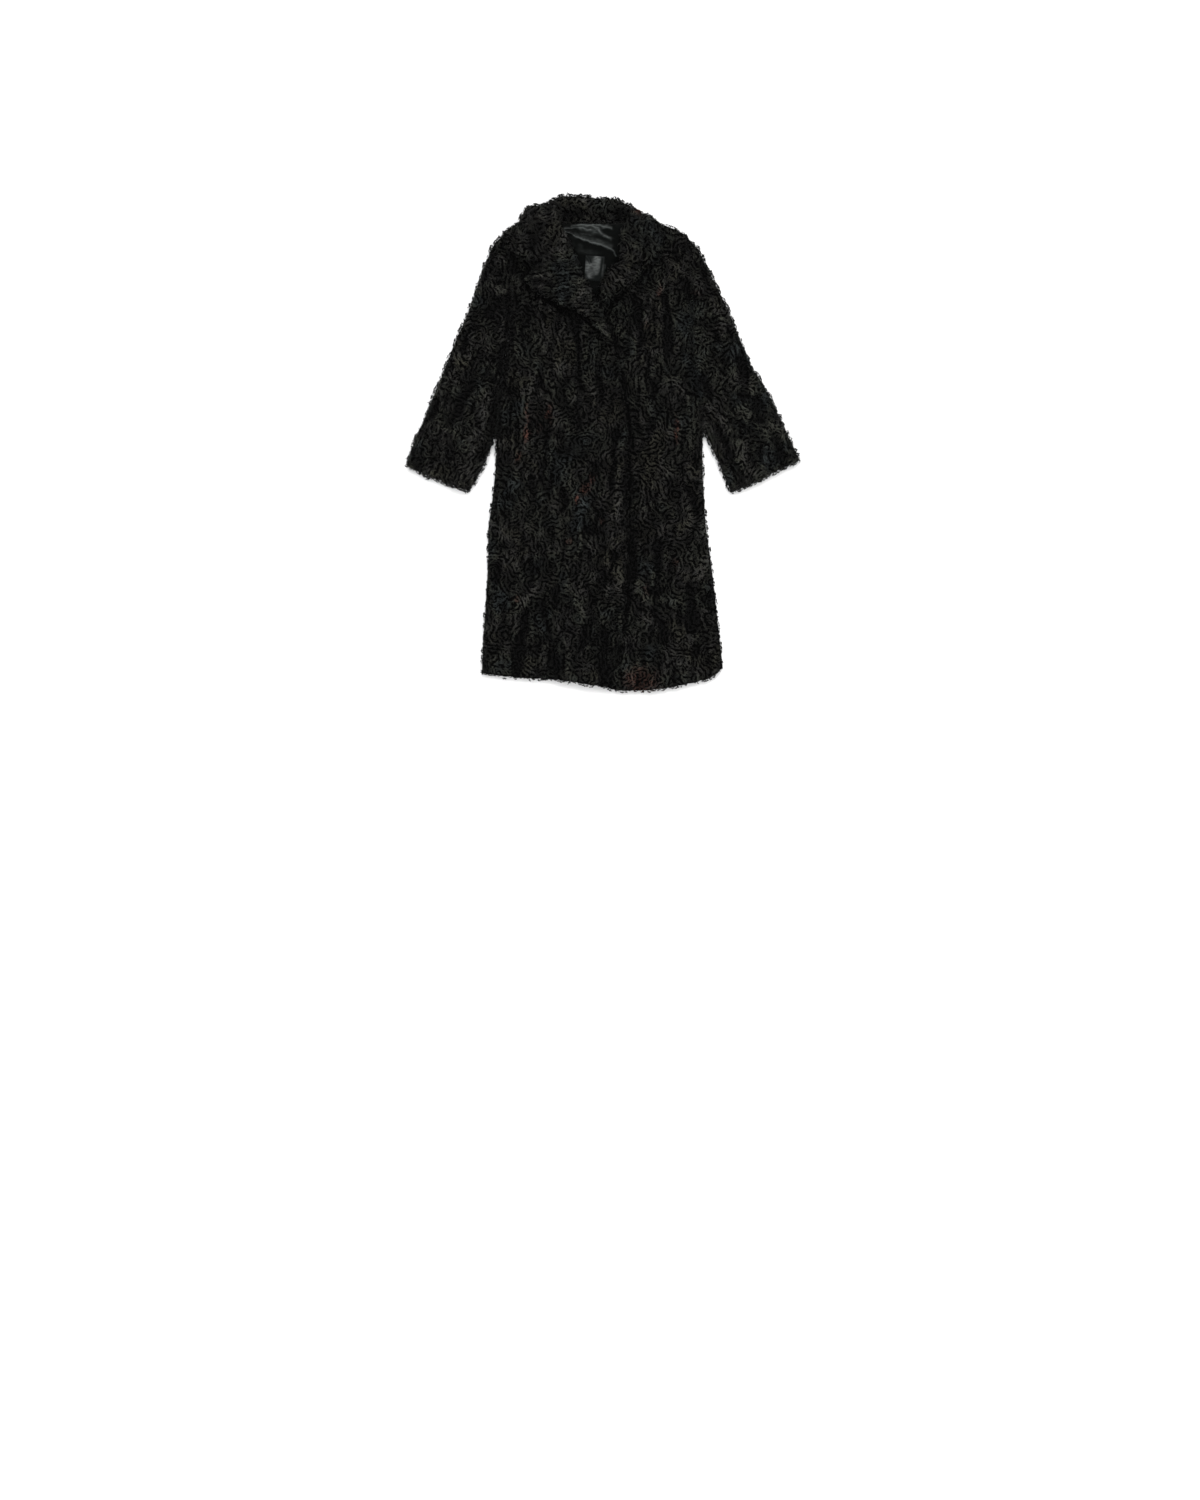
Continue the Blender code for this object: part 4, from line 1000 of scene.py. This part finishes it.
def curl_colour_and_painted_light() -> bpy.types.NodeTree:
    """Build the group that gives the curl its colour: dyed black, drifting to brown, blue and green, with
    painted sheen from the tone and painted shade from the depth.
    """
    tree = bpy.data.node_groups.new("dyed_curl_and_painted_light", "ShaderNodeTree")
    for key, value in (("Tone", 0.5), ("Depth", 1.0), ("Fade", 0.0), ("Light", 1.0)):
        tree.interface.new_socket(key, in_out="INPUT", socket_type="NodeSocketFloat").default_value = value
    tree.interface.new_socket("Color", in_out="OUTPUT", socket_type="NodeSocketColor")
    tree.interface.new_socket("Rough", in_out="OUTPUT", socket_type="NodeSocketFloat")
    wire = Wiring(tree)
    source, sink = wire.add("NodeGroupInput"), wire.add("NodeGroupOutput")
    tone, depth, fade, light = (source.outputs[key] for key in ("Tone", "Depth", "Fade", "Light"))
    place = wire.place()
    drift = wire.noise(place, 13.0, 3.0)
    patch = wire.noise(place, 42.0, 2.0)
    colour = wire.ramp(drift, (0.34, (0.0092, 0.0112, 0.0117)), (0.46, (0.0111, 0.0119, 0.0099)),
                       (0.56, (0.0113, 0.0113, 0.0112)), (0.66, (0.0122, 0.0123, 0.0099)))
    worn = wire.ramp(patch, (0.35, 0.87), (0.65, (1.18, 1.15, 1.10)))
    # painted sheen: a higher tone makes the colour much lighter
    lock = wire.ramp(tone, (0.08, (0.30, 0.30, 0.31)), (0.5, (0.92, 0.92, 0.90)), (0.92, (2.7, 2.68, 2.6)))
    for factor in (worn, lock):
        colour = wire.blend(1.0, colour, factor, "MULTIPLY")
    red = wire.ramp(tone, (0.0, (0.018, 0.008, 0.006)), (1.0, (0.074, 0.032, 0.024)))
    colour = wire.blend(wire.spread(fade, 0.1, 0.9, 0.0, 0.9), colour, red)
    # painted shade: the lower in the pile, the darker the colour
    painted_shade = wire.ramp(depth, (0.0, 0.03), (0.5, 0.45), (1.0, 1.3))
    bright = wire.add("ShaderNodeCombineXYZ", {"X": light, "Y": light, "Z": light}).outputs[0]
    for factor in (painted_shade, bright):
        colour = wire.blend(1.0, colour, factor, "MULTIPLY")
    dull, gloss = wire.spread(depth, 0.0, 1.0, 0.35, 0.0), wire.spread(tone, 0.0, 1.0, 0.08, -0.06)
    wire.feed(sink, {"Color": colour, "Rough": wire.math("ADD", dull, gloss)})
    return tree


@dataclass(frozen=True)
class CurlFinish:
    """Glossy dyed hair, combed along each lock."""

    name: str
    light: float = 1.0
    roughness: float = 0.36
    strands: float = 9.0
    specular: float = 0.10
    sheen: float = 0.01

    def build(self, dye: bpy.types.NodeTree) -> bpy.types.Material:
        """Build the material.

        Args:
            dye: the group that gives the colour, painted sheen and painted shade included.

        Returns:
            The material.
        """
        material, wire, shader = start_material(self.name)
        fields = {key: wire.attribute(key.lower()) for key in ("Tone", "Depth", "Fade")}
        group = wire.add("ShaderNodeGroup", {**fields, "Light": self.light}, node_tree=dye)
        strand = wire.add("ShaderNodeUVMap", uv_map="strand").outputs["UV"]
        turned = wire.add("ShaderNodeMapping", {"Vector": strand, "Scale": (self.strands, 1.6, 1.0),
                                                "Rotation": (0.0, 0.0, 0.22)}).outputs["Vector"]
        hair = wire.noise(turned, 1.6, 2.0, Distortion=0.3)
        streak = wire.ramp(hair, (0.30, 0.50), (0.70, 1.45))
        wire.feed(shader, {
            "Base Color": wire.blend(1.0, group.outputs["Color"], streak, "MULTIPLY"),
            "Roughness": wire.math("ADD", group.outputs["Rough"], self.roughness),
            "Normal": wire.bump(hair, 0.75, 0.0006),
            "Specular IOR Level": self.specular,
            "Sheen Weight": self.sheen,
            "Sheen Roughness": 0.35,
            "Sheen Tint": (0.75, 0.74, 0.72, 1.0),
        })
        return material


@dataclass(frozen=True)
class SkinFinish:
    """The dense short wool between the locks, over the skin."""

    name: str
    light: float = 0.8
    roughness: float = 0.5
    specular: float = 0.06

    def build(self, dye: bpy.types.NodeTree) -> bpy.types.Material:
        """Build the material, whose bump is a worm-like net of small curls.

        Args:
            dye: the group that gives the colour, painted sheen and painted shade included.

        Returns:
            The material.
        """
        material, wire, shader = start_material(self.name)
        place = wire.place()
        bend = wire.add("ShaderNodeTexNoise", {"Vector": place, "Scale": 130.0, "Detail": 1.0})
        moved = wire.vectors("MULTIPLY", bend.outputs["Color"], (0.006, 0.006, 0.006))
        place = wire.vectors("ADD", place, moved)
        worm = wire.math("ABSOLUTE", wire.math("SUBTRACT", wire.noise(place, 190.0, 1.0), 0.5))
        crest = wire.spread(worm, 0.0, 0.07, 1.0, 0.0)
        hair = wire.noise(place, 1500.0, 1.0)
        # painted highlight on the worm crests and painted shade in the gaps between them, in the colour
        group = wire.add("ShaderNodeGroup", {
            0: wire.math("MULTIPLY", crest, hair),
            1: wire.math("MULTIPLY", wire.attribute("depth"), wire.spread(crest, 0.0, 1.0, 0.15, 1.5)),
            2: wire.attribute("fade"),
            3: self.light,
        }, node_tree=dye)
        height = wire.math("ADD", wire.math("MULTIPLY", crest, 0.8), wire.math("MULTIPLY", hair, 0.2))
        wire.feed(shader, {
            "Base Color": group.outputs["Color"],
            "Roughness": wire.math("ADD", group.outputs["Rough"], self.roughness),
            "Normal": wire.bump(height, 0.9, 0.0016),
            "Specular IOR Level": self.specular,
        })
        return material


@dataclass(frozen=True)
class SatinFinish:
    """Woven satin: fine floats along one way, a painted streaky sheen in the colour, faint worn patches in
    the roughness.
    """

    name: str
    colour: tuple[float, float, float]
    # colour that the painted highlight mixes towards
    pale: tuple[float, float, float]
    roughness: float
    threads: float = 1400.0
    specular: float = 0.03

    def build(self) -> bpy.types.Material:
        """Build the material."""
        material, wire, shader = start_material(self.name)
        place = wire.place()
        long = wire.add("ShaderNodeMapping", {"Vector": place, "Scale": (0.22, 1.0, 1.0)}).outputs["Vector"]
        floats = wire.noise(long, self.threads, 2.0)
        wear_and_sheen = wire.noise(place, 60.0, 4.0)
        drawn = wire.noise(long, 420.0, 3.0)
        # painted light: the attribute read here mixes the dark satin towards its pale colour, painted
        # highlight along the creases and painted shade where it falls below zero; the same noise varies the
        # highlight's strength and the roughness
        share = wire.math("MULTIPLY", wire.attribute("painted_light"), wire.spread(wear_and_sheen, 0.3, 0.7, 0.75, 1.2))
        share = wire.math("MULTIPLY", share, wire.spread(drawn, 0.35, 0.65, 0.6, 1.35))
        share = wire.math("ADD", share, wire.spread(floats, 0.3, 0.7, -0.01, 0.015))
        wire.feed(shader, {
            "Base Color": wire.blend(share, (*self.colour, 1.0), (*self.pale, 1.0)),
            "Roughness": wire.math("ADD", wire.spread(wear_and_sheen, 0.3, 0.7, -0.05, 0.08), self.roughness),
            "Normal": wire.bump(floats, 0.25, 0.0002),
            "Specular IOR Level": self.specular,
        })
        return material


# ---------------------------------------------------------------- the coat's pieces
@dataclass
class FurPanel:
    """One fur piece: a skin shell that replaces its solid, and its locks.

    The insets are how far the skin lies inside the solid, and the relief is how much of that
    the pile's height changes.  The spacings are the sides of the skin's triangles.  Tries are
    the random spots in each square of the locks' spacing, and this spacing is multiplied by
    wide_below on faces that look down and by close_seam at seams.
    """

    node: str
    slot: str
    cut: tuple[float, float]
    cut_area: float
    rests_on: tuple[str, ...] = ()
    style: LockStyle = field(default_factory=LockStyle)
    lie: Lie = Lie.TIGHT
    pile: Pile = field(default_factory=Pile)
    skin_inset: float = 0.0042
    under_inset: float = 0.0012
    relief: float = 0.0020
    rim_out: float = 0.0004
    rim_tufts: float = 0.0018
    shown_spacing: float = 0.0085
    under_spacing: float = 0.016
    hidden_spacing: float = 0.030
    tries: float = 4.0
    wide_below: float = 2.8
    close_seam: float = 0.66

    def skin(self, soup: Soup, layers: Layers) -> tuple[Soup, dict[str, Array]]:
        """Draw the solid in to the skin, and raise its tufts.

        Each open point moves in along its normal by the inset, less the relief times the
        pile's height, and less where the rim's tufts stand out.  Hidden points stay on the
        solid, and next to another piece the skin sinks but doesn't draw back.

        Args:
            soup: the solid's surface.
            layers: what lies over what.

        Returns:
            The skin's surface and its attributes.
        """
        def spacing(points: Array, normals: Array) -> Array:
            shown = layers.shown(self.node, points, normals)
            open_size = np.where(normals[:, 2] < -0.5, self.under_spacing, self.shown_spacing)
            return np.where(shown > 0.5, open_size, self.hidden_spacing)

        fine = soup.meshed(spacing)
        normals = fine.normals()
        shown = fine.eased(layers.shown(self.node, fine.points, normals), 2)
        height = self.pile.height(fine.points)
        up = smooth_step(-0.6, 0.2, normals[:, 2])
        rim = steep_share(normals)
        tufted = patches(fine.points, TUFT_SIZE, TUFT_SEED)
        inset = self.under_inset + up * (self.skin_inset - self.under_inset) - up * self.relief * height
        inset = inset - rim * (self.rim_out + self.rim_tufts * tufted)
        inset = inset - self.style.hang * hem_share(normals) * rim
        close = fine.eased(layers.beside(self.node, fine.points, normals), 1)[:, None] * (1.0, 1.0, 0.0)
        points = fine.points - normals * (1.0 - np.clip(3.0 * close, 0.0, 1.0)) * (shown * inset)[:, None]
        points[:, 2] = np.maximum(points[:, 2], 0.0)
        # painted shade: the skin's colour is darker in the pile's hollows and darkest where another piece
        # hides it
        depth = 0.05 + 0.35 * smooth_step(-0.6, 0.9, height) * shown
        return Soup(points, fine.triangles), {"depth": depth, "fade": self.pile.fading(points)}

    def spots(self, soup: Soup, layers: Layers, rng: np.random.Generator) -> Spots:
        """Pick the places of the locks: close where they show, closer at seams, wide apart below."""
        spacing = self.style.spacing
        places, normals = soup.scatter(int(self.tries / spacing ** 2 * soup.area()), rng)
        seam = layers.seam(self.node, places, normals)
        keep = (layers.shown(self.node, places, normals) > 0.5) | (seam > 0.5)
        every = Spots(places, normals, layers.shade(self.node, places), seam).picked(keep)
        size = np.where(every.normals[:, 2] < -0.4, spacing * self.wide_below, spacing)
        size = np.where(every.seam > 0.5, self.close_seam * spacing, size)
        return every.picked(one_per_cell(every.points, size))

    def build(self, soup: Soup, layers: Layers, skin_look: bpy.types.Material, curl_look: bpy.types.Material,
              rng: np.random.Generator) -> int:
        """Returns:
            The number of triangles made.
        """
        surface, attributes = self.skin(soup, layers)
        shell = make_piece(f"{self.node}_skin", surface, skin_look, attributes)
        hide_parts(self.node)
        where = self.spots(soup, layers, rng)
        grower = Locks(self.style, self.pile, self.lie)
        locks = grower.grow(f"{self.node}_curl", where, curl_look, rng)
        skin = len(surface.triangles)
        total = skin + sum(len(item.data.polygons) for item in locks)
        log.info("%s: %d skin triangles, %d locks, %d in all", self.node, skin, len(where.points), total)
        return total


@dataclass(frozen=True)
class Crease:
    """A soft ridge along a line, in millimetres: corners in plan, half width, height, and its painted light,
    a painted highlight where positive and painted shade where negative.
    """

    line: tuple[tuple[float, float], ...]
    half_width: float
    height: float
    painted_light: float = 0.0


@dataclass
class SatinPiece:
    """A creased satin piece that replaces its thin solid."""

    node: str
    slot: str
    cut: tuple[float, float]
    cut_area: float
    rests_on: tuple[str, ...]
    creases: tuple[Crease, ...]
    spacing: float
    ripple: float
    base_painted_light: float

    def build(self, soup: Soup, look: bpy.types.Material) -> int:
        """Build the piece: both faces rise together by the sum of the creases and a fine ripple.

        The painted light is the sum of the creases' own, a painted highlight where positive and painted shade
        where negative, on an even base, and varies in width and strength along them.

        Returns:
            The number of triangles made.
        """
        fine = soup.meshed(lambda points, normals: np.full(len(points), self.spacing))
        rise = self.ripple * layered_noise(fine.points * (0.45, 1.0, 1.0), 0.012, 61)
        painted_light = self.base_painted_light + 0.12 * (layered_noise(fine.points * (0.5, 1.0, 1.0), 0.016, 62) - 0.5)
        ragged = fine.points + 0.003 * (soft_noise(fine.points, 0.009, 63)[:, None] - 0.5)
        narrow = 0.55 + 0.9 * soft_noise(fine.points, 0.013, 64)
        strong = 0.35 + 1.3 * soft_noise(fine.points, 0.010, 65)
        for crease in self.creases:
            away = away_from_line(ragged / MM, np.array(crease.line)) / crease.half_width
            rise = rise + MM * crease.height * np.exp(-away ** 2)
            painted_light = painted_light + crease.painted_light * strong * np.exp(-(away / narrow) ** 2)
        painted_light = painted_light * (0.70 + 0.60 * soft_noise(fine.points, self.spacing * 1.6, 66))
        points = fine.points.copy()
        points[:, 2] += np.maximum(rise, 0.0)
        piece = make_piece(f"{self.node}_satin", Soup(points, fine.triangles), look,
                           {"painted_light": np.clip(painted_light, 0.0, 1.1)})
        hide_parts(self.node)
        log.info("%s: %d triangles", self.node, len(fine.triangles))
        return len(fine.triangles)


# ---------------------------------------------------------------- stage
@dataclass(frozen=True)
class Studio:
    """Pale floor, soft light from above and a long lens that looks straight down."""

    page_height: float = 3.375
    middle: tuple[float, float] = (-0.0068, -0.6896)
    lens: float = 200.0
    sensor: float = 36.0
    floor_size: float = 60.0
    floor_drop: float = 0.0004
    sky_light: float = 1.0

    def floor(self) -> None:
        """Lay the floor, a little below the coat."""
        half = 0.5 * self.floor_size
        corners = [(x * half, y * half, -self.floor_drop) for x, y in ((-1, -1), (1, -1), (1, 1), (-1, 1))]
        mesh = bpy.data.meshes.new("floor")
        mesh.from_pydata(corners, [], [(0, 1, 2, 3)])
        material, wire, shader = start_material("pale_floor")
        tint = wire.ramp(wire.noise(wire.place(), 6.0, 3.0), (0.3, 0.90), (0.7, 0.92))
        wire.feed(shader, {"Base Color": tint, "Roughness": 0.9, "Specular IOR Level": 0.1})
        mesh.materials.append(material)
        floor = bpy.data.objects.new("floor", mesh)
        bpy.context.scene.collection.objects.link(floor)

    def lamp(self, name: str, place: tuple[float, float, float], spread: float, strength: float) -> None:
        """Hang one far, wide lamp that shines from a place towards the coat's middle."""
        data = bpy.data.lights.new(name, "SUN")
        data.angle = np.radians(spread)
        data.energy = strength
        lamp = bpy.data.objects.new(name, data)
        lamp.location = place
        lamp.rotation_euler = Vector(place).to_track_quat("Z", "Y").to_euler()
        bpy.context.scene.collection.objects.link(lamp)

    def sky(self) -> None:
        """Make a dim white sky that looks full white where the camera sees it."""
        world = bpy.data.worlds.new("studio")
        world.use_nodes = True
        wire = Wiring(world.node_tree)
        seen = wire.add("ShaderNodeLightPath").outputs["Is Camera Ray"]
        light = wire.math("MULTIPLY_ADD", seen, 1.0 - self.sky_light, self.sky_light)
        background = world.node_tree.nodes["Background"]
        background.inputs["Color"].default_value = (1.0, 1.0, 1.0, 1.0)
        world.node_tree.links.new(light, background.inputs["Strength"])
        bpy.context.scene.world = world

    def build(self) -> None:
        """Build floor, lamps, sky and camera."""
        self.floor()
        self.lamp("key", (0.1, 2.4, 2.8), 40.0, 2.2)
        self.lamp("fill", (1.8, -1.0, 3.0), 60.0, 0.5)
        self.sky()
        data = bpy.data.cameras.new("camera")
        data.lens = self.lens
        data.sensor_width = self.sensor
        distance = self.page_height * self.lens / self.sensor
        data.clip_start, data.clip_end = 0.1, 4.0 * distance
        camera = bpy.data.objects.new("camera", data)
        camera.location = (*self.middle, distance)
        bpy.context.scene.collection.objects.link(camera)
        bpy.context.scene.camera = camera
        bpy.context.scene.view_settings.view_transform = "Standard"


# ---------------------------------------------------------------- the whole coat
TRIM = LockStyle(spacing=0.0039, length=0.0125, radius=0.00134, turn=1.3, arch=0.0020)
SLEEVE = LockStyle(spacing=0.0039, length=0.0104, radius=0.00120, turn=1.2, arch=0.0018, tint=0.70)
SHORT_HEM = LockStyle(hang=0.0008)
LONG_HEM = LockStyle(hang=0.0046)
RIGHT_SLEEVE_PILE = Pile(grain=np.radians(66.0), shine=0.06)
LEFT_SLEEVE_PILE = Pile(grain=np.radians(114.0), shine=0.12)
COLLAR_PILE = Pile(stretch=1.4, clump=0.026, down=0.25, ridge=0.0070, shine=0.04)
LAPEL_PILE = Pile(swirl=0.45, across=0.95, down=0.0, stretch=0.6, ridge=0.0066)

FUR_PANELS = (
    FurPanel("back_panel", "fur", (0.545, 1.05), 0.473),
    FurPanel("front_left", "fur", (0.335, 1.06), 0.277, ("back_panel",), SHORT_HEM),
    FurPanel("front_right", "fur", (0.33, 1.056), 0.263, ("back_panel", "front_left"), LONG_HEM),
    FurPanel("sleeve_right", "fur", (0.345, 0.60), 0.124, (), SLEEVE, Lie.LOOSENING, RIGHT_SLEEVE_PILE),
    FurPanel("sleeve_left", "fur", (0.345, 0.60), 0.124, (), SLEEVE, Lie.LOOSENING, LEFT_SLEEVE_PILE),
    FurPanel("lapel_left", "fur_trim", (0.12, 0.134), 0.0052, ("front_left",), TRIM, pile=COLLAR_PILE),
    FurPanel("lapel_right", "fur_trim", (0.195, 0.172), 0.0115, ("front_right",), TRIM, pile=LAPEL_PILE),
    FurPanel("collar", "fur_trim", (0.62, 0.13), 0.055, ("front_right", "front_left"), TRIM,
             pile=COLLAR_PILE),
)

# Each crease's last number is its painted light: painted highlight along the fold where positive, painted
# shade where negative, as in the slit and the wide dark band low in the neck.
LINING_CREASES = (
    Crease(((-94, 478), (-76, 474), (-64, 467), (-54, 461), (-37, 455), (-21, 450), (-7, 447), (4, 443),
            (16, 438), (25, 430), (30, 421)), 1.7, 4, 1.05),
    Crease(((-64, 470), (-36, 460), (-4, 452), (18, 443)), 4.8, 0, 0.26),
    Crease(((-87, 482), (-65, 484.5), (-47, 483), (-29, 478)), 1.7, 2.2, 0.7),
    Crease(((-70, 488.5), (-47, 490), (-29, 488), (-11, 482), (-1, 470), (10, 462),
            (17, 459)), 1.9, 2.6, 0.8),
    Crease(((-52, 492), (-22, 491.5), (8, 487)), 4.5, 0, 0.34),
    Crease(((-24, 490.5), (-8, 490.5), (7, 485), (18, 482.5)), 2.6, 2.2, 0.62),
    Crease(((-52, 470), (-28, 468)), 1.2, 0.8, 0.26),
    Crease(((-46, 482), (-10, 476)), 7, 0, 0.26),
    Crease(((-64, 446), (-44, 432), (-18, 428)), 9, 0, 0.13),
    Crease(((-83, 479.7), (-57, 479.7)), 1, -1, -0.5),
    Crease(((-58, 458), (-29, 448), (-3, 438)), 3.2, 0, -0.12),
    Crease(((4.5, 402), (1.5, 372)), 2, 1, 0.45),
    Crease(((-30, 350), (0, 350)), 12, 0, -0.3),
)
# Here too the last number is painted light: painted highlight on the label's bright folds, painted shade in
# its dark slashes and along its lower edge.
LABEL_CREASES = (
    Crease(((-12.5, 414), (-13.5, 398), (-20.5, 383)), 7.8, 0.6, 0.88),
    Crease(((-33.5, 402), (-37, 386), (-31, 375)), 6.2, 1, 0.66),
    Crease(((-1, 400), (-2, 378)), 3.4, 0, 0.3),
    Crease(((-40.5, 417), (-30, 404)), 1.3, -0.8, -0.45),
    Crease(((-34.5, 420), (-26, 407)), 1.3, -0.8, -0.45),
    Crease(((-1, 414), (-5, 390), (-7, 368)), 2.2, -1, -0.55),
    Crease(((-25, 393), (-19, 382)), 2.6, -0.6, -0.3),
    Crease(((-26, 378), (-12, 374)), 4, 0, -0.3),
    Crease(((-43, 364), (2, 362)), 6, 0, -0.55),
)
SATIN_PIECES = (
    (SatinPiece("neck_lining", "lining", (0.166, 0.162), 0.0186, ("back_panel",), LINING_CREASES,
                0.0030, 0.0010, -0.03),
     SatinFinish("black_satin", (0.0008, 0.0011, 0.0009), (0.050, 0.055, 0.053), 0.32)),
    (SatinPiece("label", "label", (0.046, 0.059), 0.0024, ("neck_lining",), LABEL_CREASES,
                0.0018, 0.0008, 0.06),
     SatinFinish("grey_satin", (0.005, 0.006, 0.0057), (0.078, 0.083, 0.081), 0.38, 1000.0)),
)


def main() -> None:
    """Build every piece of the coat in order, and report each."""
    logging.basicConfig(level=logging.INFO, format="%(message)s")
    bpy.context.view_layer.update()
    rng = np.random.default_rng(SEED)
    soups = {name: Soup.of_node(name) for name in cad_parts}
    layers = Layers(soups)
    dye = curl_colour_and_painted_light()
    skin = {"fur": SkinFinish("dense_black_wool"), "fur_trim": SkinFinish("dense_trim_wool", 0.9)}
    curl = {"fur": CurlFinish("black_lamb_curl"), "fur_trim": CurlFinish("trim_lamb_curl", 1.1)}
    skin, curl = ({slot: look.build(dye) for slot, look in looks.items()} for looks in (skin, curl))
    total = sum(panel.build(soups[panel.node], layers, skin[panel.slot], curl[panel.slot], rng)
                for panel in FUR_PANELS)
    total += sum(piece.build(soups[piece.node], look.build()) for piece, look in SATIN_PIECES)
    log.info("%d triangles in all", total)
    Studio().build()


if __name__ == "__main__":
    main()
